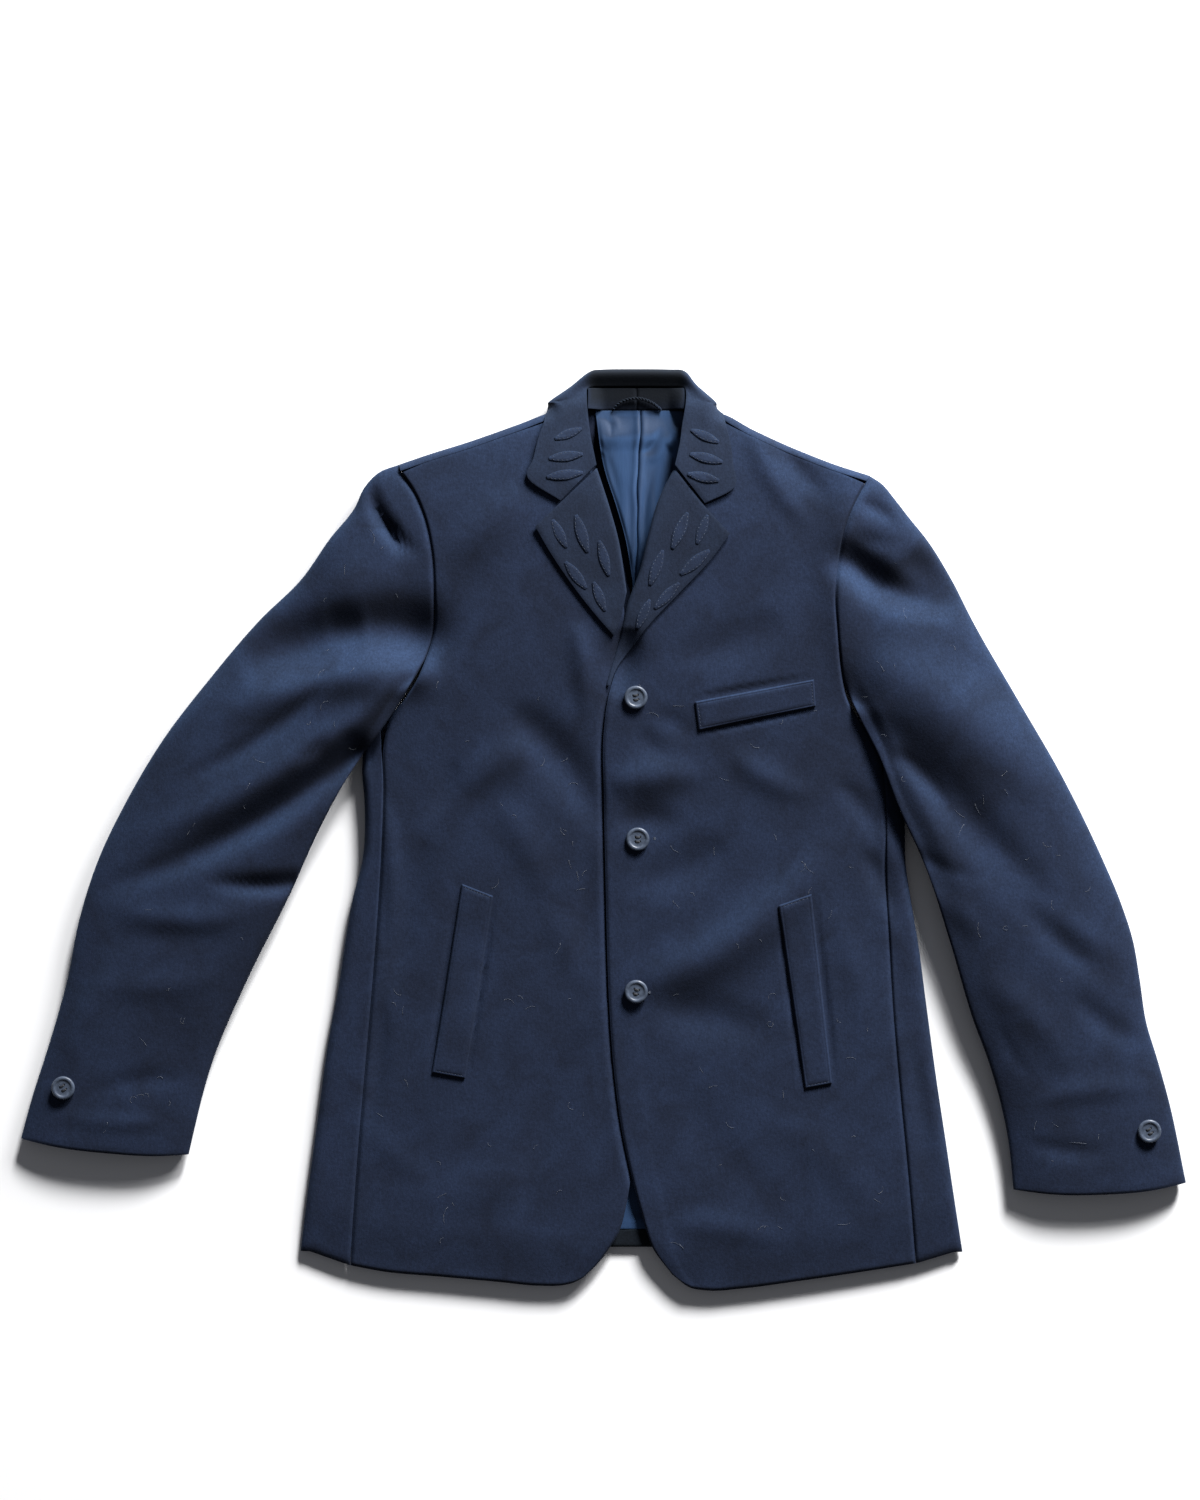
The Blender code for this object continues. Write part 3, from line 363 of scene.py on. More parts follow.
def bodyUnder(x, y):
    # How high the body holds up a sleeve that lies on it.
    left = smoothStep(leftBodyX(y) - x, *zones["sleeveInward"]) * smoothStep(-y, *zones["leftSleeveDown"])
    right = smoothStep(x - rightBodyX(y), *zones["sleeveInward"]) * smoothStep(-y, *zones["rightSleeveDown"])
    chosen = left if x > 0 else right
    return (faceHeight(x, y) + bodyForm["sleeveRest"]) * chosen


def neckLift(x, y):
    # The back lies on the collar's under layer near the neck.
    near = smoothStep(y, *zones["neckUp"]) * smoothStep(x, *zones["neckRight"])
    near *= smoothStep(-x, *zones["neckLeft"])
    return bodyForm["neckRise"] * near


def linear(code):
    # An sRGB hex colour as linear RGBA.
    parts = [int(code[i:i + 2], 16) / 255 for i in (1, 3, 5)]
    return [p / 12.92 if p <= 0.04045 else ((p + 0.055) / 1.055) ** 2.4 for p in parts] + [1.0]


def addNode(tree, kind, inputs, **settings):
    # An input takes a value, another node's socket, or a node for its first output.
    made = tree.nodes.new("ShaderNode" + kind)
    for key, value in settings.items():
        setattr(made, key, value)
    for key, value in inputs.items():
        if isinstance(value, bpy.types.Node):
            value = value.outputs[0]
        if isinstance(value, bpy.types.NodeSocket):
            tree.links.new(value, made.inputs[key])
        else:
            made.inputs[key].default_value = value
    return made


def setRamp(made, *stops):
    # The first two stops are the ramp's own and any other is added.
    ramp = made.color_ramp.elements
    for i, (position, colour) in enumerate(stops):
        stop = ramp[i] if i < 2 else ramp.new(position)
        stop.position = position
        stop.color = colour


def newMaterial(name, values):
    material = bpy.data.materials.new(name)
    material.use_nodes = True
    tree = material.node_tree
    shader = tree.nodes["Principled BSDF"]
    for key, value in values.items():
        shader.inputs[key].default_value = value
    return material, tree, shader, addNode(tree, "TexCoord", {}).outputs["Object"]


def wire(tree, shader, colour, normal):
    # What the eye sees of the material goes into its shader.
    tree.links.new(colour, shader.inputs["Base Color"])
    tree.links.new(normal.outputs["Normal"], shader.inputs["Normal"])


def cellsPer(size):
    # A texture scale from the real size of its grain, in mm.
    return 1.0 / (size * mm)


noiseSpan = {"From Min": 0.3, "From Max": 0.7}     # where most of a noise's values lie


def meltonWool(name, look):
    # Milled wool melton: the weave is felted over, so it is matt, with a short nap that
    # catches the light at its edges and lies in faint clouds.
    material, tree, shader, place = newMaterial(name, {
        "Roughness": 0.92, "IOR": 1.45, "Specular IOR Level": 0.16,
        "Sheen Weight": look["sheen"], "Sheen Roughness": 0.45, "Sheen Tint": linear(look["sheenTint"]),
    })
    clouds = addNode(tree, "TexNoise", {
        "Vector": place, "Scale": cellsPer(look["cloud"]), "Detail": 4.0, "Roughness": 0.6,
        "Distortion": 0.6})
    felt = addNode(tree, "TexNoise", {
        "Vector": place, "Scale": cellsPer(look["tuft"]), "Detail": 5.0, "Roughness": 0.7})
    # fibres laid one way by the finishing, drawn at 1.1 mm to show at all
    laid = addNode(tree, "Mapping", {
        "Vector": place, "Rotation": (0.0, 0.0, 0.35), "Scale": (1.0, 0.28, 1.0)})
    fibre = addNode(tree, "TexNoise", {
        "Vector": laid, "Scale": cellsPer(1.1), "Detail": 3.0, "Roughness": 0.65})
    body = addNode(tree, "ValToRGB", {"Fac": clouds})
    setRamp(body, (0.32, linear(look["low"])), (0.70, linear(look["high"])))
    fleck = look["fleck"]
    tufts = addNode(tree, "MapRange", {**noiseSpan, "Value": felt, "To Min": 1 - fleck, "To Max": 1 + fleck})
    strands = addNode(tree, "MapRange", {
        **noiseSpan, "Value": fibre, "To Min": 1 - 0.8 * fleck, "To Max": 1 + 0.8 * fleck})
    both = addNode(tree, "Math", {0: tufts, 1: strands}, operation="MULTIPLY")
    shade = addNode(tree, "VectorMath", {0: body, "Scale": both}, operation="SCALE")
    # painted highlight and shade: slopes that face +y, the way the light comes from, are painted
    # bluer and brighter, and slopes that face away are painted darker and browner
    normal = addNode(tree, "NewGeometry", {}).outputs["Normal"]
    paintedLightFacing = addNode(tree, "VectorMath", {0: normal, 1: look["paintedLightFrom"]}, operation="DOT_PRODUCT")
    paintedLightShare = addNode(tree, "MapRange", {
        "Value": paintedLightFacing.outputs["Value"], "From Min": -0.32, "From Max": 0.32, "To Min": 0.0, "To Max": 1.0})
    paintedShadeAndHighlight = addNode(tree, "ValToRGB", {"Fac": paintedLightShare})
    setRamp(paintedShadeAndHighlight, (0.0, (0.56, 0.5, 0.47, 1.0)), (1.0, (1.28, 1.45, 1.43, 1.0)),
            (0.5, (1.0, 1.0, 1.0, 1.0)))
    colour = addNode(tree, "VectorMath", {0: shade, 1: paintedShadeAndHighlight}, operation="MULTIPLY").outputs["Vector"]
    if "neckDark" in look:
        # darker behind the neck
        parts = addNode(tree, "SeparateXYZ", {"Vector": place})
        offset = addNode(tree, "Math", {0: parts.outputs["X"], 1: neckMiddle * mm}, operation="SUBTRACT")
        aside = addNode(tree, "Math", {0: offset}, operation="ABSOLUTE")
        across = addNode(tree, "MapRange", {
            "Value": aside, "From Min": 0.0365, "From Max": 0.046, "To Min": 0.85, "To Max": 0.0},
            interpolation_type="SMOOTHSTEP")
        behind = addNode(tree, "MapRange", {
            "Value": parts.outputs["Y"], "From Min": 0.352, "From Max": 0.372, "To Min": 0.0, "To Max": 1.0},
            interpolation_type="SMOOTHSTEP")
        neckDarkShare = addNode(tree, "Math", {0: across, 1: behind}, operation="MULTIPLY")
        neckDarkened = addNode(tree, "Mix", {0: neckDarkShare, 6: colour, 7: linear(look["neckDark"])}, data_type="RGBA")
        colour = neckDarkened.outputs[2]
    # the nap's relief, tufts under single fibres
    relief = addNode(tree, "Bump", {"Height": felt, "Strength": 0.55, "Distance": 0.35 * mm})
    hairy = addNode(tree, "Bump", {
        "Height": fibre, "Normal": relief, "Strength": 0.45, "Distance": 0.18 * mm})
    wire(tree, shader, colour, hairy)
    return material


def liningSatin(name, look):
    # Viscose satin: long floats give a soft streaky shine across the cloth.
    material, tree, shader, place = newMaterial(name, {
        "Roughness": 0.55, "IOR": 1.48, "Specular IOR Level": 0.1, "Sheen Weight": 0.05,
        "Sheen Roughness": 0.3, "Anisotropic": 0.55,
    })
    drawn = addNode(tree, "Mapping", {"Vector": place, "Scale": (1.0, 0.06, 1.0)})
    # yarns at 0.25 mm, drawn at 0.8 mm so that they show
    yarn = addNode(tree, "TexNoise", {
        "Vector": drawn, "Scale": cellsPer(0.8), "Detail": 3.0, "Roughness": 0.6})
    drift = addNode(tree, "TexNoise", {"Vector": place, "Scale": cellsPer(30.0), "Detail": 2.0})
    mixed = addNode(tree, "Mix", {0: drift, 6: linear(look["low"]), 7: linear(look["high"])},
                    data_type="RGBA")
    streak = addNode(tree, "MapRange", {**noiseSpan, "Value": yarn, "To Min": 0.9, "To Max": 1.1})
    # painted shade and highlight: slopes that face +y are painted darker and slopes that face -y brighter,
    # evening out the light on the satin
    normal = addNode(tree, "NewGeometry", {}).outputs["Normal"]
    parts = addNode(tree, "SeparateXYZ", {"Vector": normal})
    paintedShadeByFacing = addNode(tree, "MapRange", {
        "Value": parts.outputs["Y"], "From Min": -0.25, "From Max": 0.25, "To Min": 1.35, "To Max": 0.5})
    both = addNode(tree, "Math", {0: streak, 1: paintedShadeByFacing}, operation="MULTIPLY")
    shade = addNode(tree, "VectorMath", {0: mixed.outputs[2], "Scale": both}, operation="SCALE")
    ribs = addNode(tree, "Bump", {"Height": yarn, "Strength": 0.3, "Distance": 0.1 * mm})
    wire(tree, shader, shade.outputs["Vector"], ribs)
    return material


def mouldedButton(name, look):
    # Polyester button blank, turned and tumbled: half gloss, with a faint horn-like marbling.
    material, tree, shader, place = newMaterial(name, {
        "Roughness": 0.46, "IOR": 1.54, "Specular IOR Level": 0.35, "Coat Weight": 0.06,
        "Coat Roughness": 0.35,
    })
    marble = addNode(tree, "TexNoise", {
        "Vector": place, "Scale": cellsPer(7.0), "Detail": 4.0, "Roughness": 0.55, "Distortion": 2.2})
    grain = addNode(tree, "TexNoise", {"Vector": place, "Scale": cellsPer(0.6), "Detail": 2.0})
    body = addNode(tree, "ValToRGB", {"Fac": marble})
    setRamp(body, (0.35, linear(look["low"])), (0.68, linear(look["high"])))
    gloss = addNode(tree, "MapRange", {**noiseSpan, "Value": grain, "To Min": 0.3, "To Max": 0.48})
    tree.links.new(gloss.outputs["Result"], shader.inputs["Roughness"])
    turned = addNode(tree, "Bump", {"Height": grain, "Strength": 0.15, "Distance": 0.05 * mm})
    wire(tree, shader, body.outputs["Color"], turned)
    return material


def spunThread(name, colour, strand):
    # Polyester sewing thread: a twisted strand with a slight shine.
    material, tree, shader, place = newMaterial(name, {"Roughness": 0.62, "IOR": 1.5, "Sheen Weight": 0.2})
    twist = addNode(tree, "TexNoise", {"Vector": place, "Scale": cellsPer(strand), "Detail": 2.0})
    shade = addNode(tree, "MapRange", {**noiseSpan, "Value": twist, "To Min": 0.75, "To Max": 1.25})
    tone = addNode(tree, "VectorMath", {0: linear(colour)[:3], "Scale": shade}, operation="SCALE")
    plies = addNode(tree, "Bump", {"Height": twist, "Strength": 0.4, "Distance": 0.1 * mm})
    wire(tree, shader, tone.outputs["Vector"], plies)
    return material


# paintedLightFrom: the way from which painted highlight and shade fall on each cloth
woolLook = {"low": "#192031", "high": "#202a40", "sheen": 0.10, "sheenTint": "#7d9cc9",
            "cloud": 40.0, "tuft": 2.4, "fleck": 0.22, "paintedLightFrom": (0.0, 1.0, 0.0)}
facingLook = {"low": "#19202f", "high": "#1e2739", "sheen": 0.10, "sheenTint": "#7b93b8",
              "cloud": 30.0, "tuft": 2.0, "fleck": 0.2, "neckDark": "#111417", "paintedLightFrom": (0.0, 0.4, 0.0)}
feltLook = {"low": "#1c2435", "high": "#232d42", "sheen": 0.12, "sheenTint": "#7f99bf",
            "cloud": 18.0, "tuft": 1.6, "fleck": 0.16, "paintedLightFrom": (0.0, 0.4, 0.0)}
# painted shade: a much darker wool for the turned-up hem
hemShadeLook = {"low": "#0f141a", "high": "#151b23", "sheen": 0.04, "sheenTint": "#7b93b8",
               "cloud": 30.0, "tuft": 2.0, "fleck": 0.2, "paintedLightFrom": (0.0, 0.4, 0.0)}
satinLook = {"low": "#2b3f5f", "high": "#364e70"}
buttonLook = {"low": "#39414f", "high": "#4b5565"}

wool = meltonWool("navy melton wool", woolLook)
facing = meltonWool("navy melton facing", facingLook)
felt = meltonWool("navy pressed felt", feltLook)
# the wool painted darker and duller, as shade on the turned-up hem
hemShadeWool = meltonWool("navy melton painted with hem shade", hemShadeLook)
satin = liningSatin("blue viscose lining satin", satinLook)
resin = mouldedButton("dark moulded polyester button", buttonLook)
darkThread = spunThread("navy sewing thread", "#151922", 0.5)
stitchThread = spunThread("slate topstitch thread", "#2c3749", 0.5)
lintFibre = spunThread("pale wool lint", "#666c76", 1.2)
print("materials made")

blazer = bpy.data.collections.new("blazer")
bpy.context.scene.collection.children.link(blazer)
woolFinish = (wool, "body_wool")
facingFinish = (facing, "facing_wool")
hemShadeFinish = (hemShadeWool, "body_wool")
satinFinish = (satin, "lining_satin")
feltFinish = (felt, "felt_applique")


def spread(count, length, tight=(0.0, 0.5, 1.1, 2.0, 3.3, 5.2)):
    # Fractions along an edge, close together at both ends so that a seam can turn down.
    near = [d / length for d in tight]
    start = near[-1]
    inner = [start + (1 - 2 * start) * i / count for i in range(1, count)]
    return near + inner + [1 - d for d in reversed(near)]


def even(count):
    return [i / count for i in range(count + 1)]


def rolled(distance, depth, width=1.3):
    # How far cloth turns down at this distance from a fold or a seam.
    return depth * math.exp(-(distance / width) ** 2)


def fromBmesh(name, bm, material, recalculate=True):
    if recalculate:
        bmesh.ops.recalc_face_normals(bm, faces=bm.faces)
    mesh = bpy.data.meshes.new(name)
    bm.to_mesh(mesh)
    bm.free()
    mesh.materials.append(material)
    mesh.shade_smooth()
    piece = bpy.data.objects.new(name, mesh)
    blazer.objects.link(piece)
    return piece


def addModifier(piece, name, kind, **settings):
    made = piece.modifiers.new(name, kind)
    for key, value in settings.items():
        setattr(made, key, value)


def stands(piece, nodes):
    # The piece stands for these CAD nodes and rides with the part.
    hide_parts(*nodes)
    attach(piece, "root")


def makeSheet(name, nodes, across, along, place, thickness, finish, flip=False, rim=0.6):
    # Cloth whose outer face is place(u, v), with its thickness on the inner side.
    bm = bmesh.new()
    nx, ny = len(across) - 1, len(along) - 1
    bmesh.ops.create_grid(bm, x_segments=nx, y_segments=ny, size=1.0)
    for vert in bm.verts:
        u = across[round((vert.co.x + 1) / 2 * nx)]
        v = along[round((vert.co.y + 1) / 2 * ny)]
        vert.co = Vector(place(u, v)) * mm
    if flip:
        bmesh.ops.reverse_faces(bm, faces=bm.faces)
    material, slot = finish
    piece = fromBmesh(name, bm, material, recalculate=False)
    addModifier(piece, "Cloth", "SOLIDIFY", thickness=thickness * mm, offset=-1.0, use_quality_normals=True)
    addModifier(piece, "Soft rim", "BEVEL", width=min(rim, 0.42 * thickness) * mm, segments=2,
                limit_method="ANGLE", angle_limit=math.radians(62), harden_normals=False)
    stands(piece, nodes)


# Body: two fronts, the wrapped back and the side panels.

bodyCloth = {"columns": 84, "rows": 190, "frontWidth": 250.0, "frontLength": 740.0, "backWidth": 430.0,
             "backLength": 720.0, "sideLength": 450.0, "sideRows": 92, "sideShare": 16 / 26,
             "seamDepth": 1.5, "shoulderDepth": 0.2, "edgeDepth": 1.1, "mostTurn": 1.6, "proud": 0.35,
             "edgeWidth": 1.6, "seamWidth": 1.8, "facingEdge": (-30, -24), "hemFall": 2.0, "hemReach": 50.0,
             "shoulderWrap": 7.0, "rippleWidth": 420.0, "rippleEdge": 12.0, "mostRadius": 8.0,
             "radiusShare": 0.6, "mostHemTurn": 1.2}
leftSideCurve = through(leftSideSeam + leftArmhole[1:-1])
rightSideCurve = through(rightSideSeam + rightArmhole[1:-1])
leftUnderX = lookup([(y, x) for x, y in leftUnderSeam + leftArmhole[:1]])
rightUnderX = lookup([(y, x) for x, y in rightUnderSeam + rightArmhole[:1]])


def frontPlan(edge, side, hem, shoulder, corner):
    # The front stops below the shoulder edge, where the wrapped back meets it.
    top = [(x, y - bodyCloth["shoulderWrap"] - 0.1) for x, y in shoulder[:-1]] + [corner]
    return betweenEdges(through(edge), side, through(hem), through(top))


leftFrontPlan = frontPlan(leftFrontEdge, leftSideCurve, leftHem, leftShoulder, leftArmhole[-2])
rightFrontPlan = frontPlan(rightFrontEdge, rightSideCurve, rightHem, rightShoulder, rightArmhole[-2])
backPlan = betweenEdges(
    through(rightUnderSeam + rightArmhole), through(leftUnderSeam + leftArmhole), through(backHem),
    through(list(reversed(rightShoulder)) + [(0, 358.6), (28, 358.3), (60, 358.6)] + leftShoulder))


def hemFall(distance):
    # The hem lies lower than the cloth above it.
    return bodyCloth["hemFall"] * (1 - smoothStep(distance, 0.0, bodyCloth["hemReach"]))


def frontFace(plan, height):
    # The free edge and hem are folded over, the side and shoulder are sewn down.
    def place(u, v):
        x, y = plan(u, v)
        sideways, up = bodyCloth["frontWidth"], bodyCloth["frontLength"]
        turn = (rolled(u * sideways, bodyCloth["edgeDepth"], bodyCloth["edgeWidth"])
                + rolled((1 - u) * sideways, bodyCloth["seamDepth"], bodyCloth["seamWidth"])
                + rolled(v * up, bodyCloth["edgeDepth"], bodyCloth["edgeWidth"])
                + rolled((1 - v) * up, bodyCloth["shoulderDepth"]))
        # the doubled cloth of the facing and hem stands a little proud
        proud = bodyCloth["proud"] * smoothStep(-u * sideways, *bodyCloth["facingEdge"])
        return x, y, height(x, y) - min(turn, bodyCloth["mostTurn"]) + proud - hemFall(v * up)
    return place


for name, plan, height in (("left", leftFrontPlan, faceHeight), ("right", rightFrontPlan, rightFrontHeight)):
    makeSheet(name + "_front_cloth", ["front_" + name], spread(bodyCloth["columns"], bodyCloth["frontWidth"]),
              spread(bodyCloth["rows"], bodyCloth["frontLength"]), frontFace(plan, height),
              wall["wool"], woolFinish, flip=name == "right")

turnStart = 1 - bodyCloth["shoulderWrap"] / bodyCloth["backLength"]


def backFace(u, v):
    # Flat on the floor, then up and over the shoulder edge to meet the fronts.
    if v <= turnStart:
        x, y = backPlan(u, v)
        away = min(u, 1 - u) * bodyCloth["rippleWidth"]
        lift = creasesAt(rippleLines, x, y) * smoothStep(v, 0.0, 0.03)
        lift *= smoothStep(away, 0, bodyCloth["rippleEdge"]) * smoothStep(-y, *zones["flatBackDown"])
        return x, y, neckLift(x, y) + lift
    angle = math.pi * (v - turnStart) / (1 - turnStart)
    x, y = backPlan(u, turnStart)
    neck = smoothStep(x, *zones["napeRight"]) * smoothStep(-x, *zones["napeLeft"])
    forward = (1 - neck) * math.sin(angle) + neck * angle / math.pi
    x, y = backPlan(u, turnStart + (1 - turnStart) * forward)
    rise = (1 - neck) * (1 - math.cos(angle)) / 2
    low = neckLift(x, y)
    return x, y, low + (faceHeight(x, y) - low) * rise


backRows = [turnStart * v for v in even(92)] + [turnStart + (1 - turnStart) * k for k in even(12)[1:]]
makeSheet("back_cloth", ["back"], spread(64, bodyCloth["backWidth"]), backRows, backFace, wall["wool"],
          woolFinish, flip=True)


# the shares of a side panel's width up to its front part's end and up to its turn's end
frontShare, turnShare = 0.4, 0.8


def sideFace(seam, edge, under, side):
    # From the front seam, round the body's edge, to the seam with the back.
    def place(u, v):
        start = seam(v * bodyCloth["sideShare"])
        outer = edge(v)
        endX = under(outer.y) + side * (0.4 + 1.2 * smoothStep(v, 0.7, 0.95))
        width = abs(outer.x - start.x) - seamGap
        radius = min(bodyCloth["mostRadius"], bodyCloth["radiusShare"] * width)
        startX = start.x + side * seamGap
        turnX = outer.x - side * radius
        up = v * bodyCloth["sideLength"]
        fall = hemFall(up)
        hemTurn = min(rolled(up, bodyCloth["edgeDepth"], bodyCloth["edgeWidth"]), bodyCloth["mostHemTurn"])
        top = faceHeight(turnX, outer.y) - fall - hemTurn
        if u <= frontShare:
            k = u / frontShare
            x = startX + (turnX - startX) * k
            y = start.y + (outer.y - start.y) * k
            sewn = min(hemTurn + rolled(width * k, bodyCloth["seamDepth"]), bodyCloth["mostTurn"])
            return x, y, faceHeight(x, y) - fall - sewn
        if u <= turnShare:
            angle = math.pi * (u - frontShare) / (turnShare - frontShare)
            return turnX + side * radius * math.sin(angle), outer.y, top * (1 + math.cos(angle)) / 2
        k = (u - turnShare) / (1 - turnShare)
        return turnX + (endX - turnX) * k, outer.y, 0.0
    return place


frontColumns = (0.0, 0.02, 0.05, 0.1, 0.17, 0.26, 0.36, 0.47, 0.58, 0.69, 0.8, 0.9, 1.0)
aroundSide = [frontShare * k for k in frontColumns]
aroundSide += [frontShare + (turnShare - frontShare) * k for k in even(12)[1:]]
aroundSide += [turnShare + (1 - turnShare) * k for k in even(4)[1:]]
for name, seam, edge, under, side in (("left", leftSideCurve, leftBodyEdge, leftUnderX, 1),
                                      ("right", rightSideCurve, rightBodyEdge, rightUnderX, -1)):
    makeSheet(name + "_side_cloth", ["side_" + name], aroundSide, even(bodyCloth["sideRows"]),
              sideFace(seam, through(edge), under, side), wall["wool"], woolFinish, flip=side < 0)
print("body made")

# Sleeves: a shaped top half and an under half that lies on the floor.

sleeveCloth = {"turn": 15.0, "round": 7.0, "seam": 1.2, "armholeGap": 0.22, "rows": 118, "across": 48,
               "length": 640.0, "crownPower": 5.0, "openPower": 2.15, "innerFall": 5.5, "joined": 0.16,
               "least": 6.5, "blend": 4.0, "evenShare": 0.35, "fallWidth": (2.0, 34.0)}
wrap = 6     # columns that go round each edge of the top half
flatWrap = 2     # of those, the columns that lie flat below


def sleevePlan(outer, inner, cuff, armhole, side):
    rim = through([(x + side * sleeveCloth["armholeGap"], y) for x, y in reversed(armhole)])
    return betweenEdges(through(outer), through(inner), rim, through(cuff))


leftSleevePlan = sleevePlan(leftSleeveOuter, leftSleeveInner, leftCuff, leftArmhole, 1)
rightSleevePlan = sleevePlan(rightSleeveOuter, rightSleeveInner, rightCuff, rightArmhole, -1)


def sleeveHeights(plan, u, v):
    # A place on the sleeve with the heights of its underside and its top.
    x, y = plan(u, v)
    low = bodyUnder(x, y)
    own = sleeveHeightAt(v) + creasesAt(creaseLines, x, y)
    joined = smoothStep(v, 0.0, sleeveCloth["joined"])
    high = faceHeight(x, y) * (1 - joined) + own * joined
    return x, y, low, smoothMax(high, low + sleeveCloth["least"], sleeveCloth["blend"] * joined)


def sleeveDome(across, v):
    # Nearly square where it is sewn in, and rounder from there on.
    crownPower, openPower = sleeveCloth["crownPower"], sleeveCloth["openPower"]
    power = crownPower + (openPower - crownPower) * smoothStep(v, 0, 0.2)
    return (1 - abs(1 - 2 * across) ** power) ** (1 / power)


def sleeveTop(plan, widthAt):
    # The first columns are the turned-under edge, then comes the domed top, then the other edge.
    turned, rounded = sleeveCloth["turn"], sleeveCloth["round"]

    def place(u, v):
        last = sleeveCloth["across"] + 2 * wrap
        column = u * last
        fromEnd = min(column, last - column)
        if fromEnd < wrap - 0.01:
            if fromEnd <= flatWrap:
                inset = turned + (rounded - turned) * fromEnd / flatWrap
                drop = 1.0
            else:
                angle = math.pi / 2 * (fromEnd - flatWrap) / (wrap - flatWrap)
                inset = rounded * (1 - math.sin(angle))
                drop = math.cos(angle)
            across = inset / widthAt(v)
            if column > last / 2:
                across = 1 - across
            x, y, low, high = sleeveHeights(plan, across, v)
            middle = (low + high) / 2
            return x, y, middle - (middle - low) * drop
        q = (column - wrap) / sleeveCloth["across"]
        across = 0.5 - 0.5 * math.cos(math.pi * q)
        if 0 < q < 1:
            across += sleeveCloth["evenShare"] * (q - across)
        x, y, low, high = sleeveHeights(plan, across, v)
        middle = (low + high) / 2
        dome = sleeveDome(across, v)
        # the inner edge falls away sooner than the outer one
        fromInner = (1 - across) * widthAt(v)
        fall = sleeveCloth["innerFall"] * (1 - smoothStep(fromInner, *sleeveCloth["fallWidth"]))
        fall *= smoothStep(v, 0.03, 0.14) * (1 - 0.8 * smoothStep(v, 0.35, 0.6))
        high -= min(fall, 0.3 * (high - low))
        sewn = rolled(v * sleeveCloth["length"], 2.0, 2.8)
        sewn += rolled((1 - v) * sleeveCloth["length"], 0.8, 1.4)
        return x, y, middle + (high - middle - sewn) * dome
    return place


def sleeveUnder(plan, widthAt):
    def place(u, v):
        inset = (sleeveCloth["turn"] + sleeveCloth["seam"]) / widthAt(v)
        across = inset + (1 - 2 * inset) * u
        x, y, low, high = sleeveHeights(plan, across, v)
        free = smoothStep(min(u, 1 - u), 0.0, 0.2) * smoothStep(-low, -1.0, 0.0)
        return x, y, low + creasesAt(rippleLines, x, y) * free * smoothStep(min(v, 1 - v), 0.0, 0.04)
    return place


# closer rows at the armhole and at the cuff
crownRows = [0, 0.0008, 0.0018, 0.003, 0.005, 0.0085, 0.013]
cuffRows = [0.995, 0.9972, 0.9985, 0.9993, 1.0]
between = [crownRows[-1] + (cuffRows[0] - crownRows[-1]) * k for k in even(sleeveCloth["rows"])[1:-1]]
sleeveRows = crownRows + between + cuffRows
for name, plan in (("left", leftSleevePlan), ("right", rightSleevePlan)):
    def widthAt(v, plan=plan):
        return (plan(1, v) - plan(0, v)).length

    mirrored = name == "right"
    makeSheet(name + "_sleeve_top_cloth", ["sleeve_" + name + "_top"], even(sleeveCloth["across"] + 2 * wrap),
              sleeveRows, sleeveTop(plan, widthAt), wall["wool"], woolFinish, flip=mirrored)
    makeSheet(name + "_sleeve_under_cloth", ["sleeve_" + name + "_under"], even(18), even(64),
              sleeveUnder(plan, widthAt), wall["wool"], woolFinish, flip=not mirrored)
print("sleeves made")

# Lapels, each turned back at its roll.

lapelCloth = {"across": 26, "along": 64, "rollDrop": 2.4, "rollWidth": 1.4, "tipCurl": 0.7, "ease": 1.5,
              "welled": 0.22}


def lapelFace(x, y):
    return faceHeight(x, y) + lapelLift


def lapel(plan):
    def place(u, v):
        x, y = plan(u ** lapelCloth["ease"], v)
        edge = plan(0, v)
        distance = math.hypot(x - edge.x, y - edge.y)
        drop = lapelCloth["rollDrop"] * math.exp(-distance / lapelCloth["rollWidth"])
        tip = lapelCloth["tipCurl"] * smoothStep(u, 0.6, 1.0) * smoothStep(v, 0.7, 1.0)
        # a faint welled line where the facing's seam allowance ends
        ridge = lapelCloth["welled"] * (smoothStep(u, 0.86, 0.9) + smoothStep(v, 0.93, 0.955))
        return x, y, lapelFace(x, y) - drop + tip + ridge
    return place


leftLapelPlan = betweenEdges(through(leftRoll), through(leftLapelOuter), through([(1.7, 123), (5.2, 123)]),
                             through([(59.6, 308), (85.0, 276.2), (107, 252)]))
rightLapelPlan = betweenEdges(through(rightRoll), through(rightLapelOuter),
                              through([(19.3, 203), (15.3, 184), (8.6, 165)]),
                              through([(-6, 308), (-36.6, 279), (-58.5, 258)]))
for name, plan in (("left", leftLapelPlan), ("right", rightLapelPlan)):
    makeSheet(name + "_lapel_cloth", ["lapel_" + name], even(lapelCloth["across"]), even(lapelCloth["along"]),
              lapel(plan), wall["facing"], facingFinish, flip=name == "right")

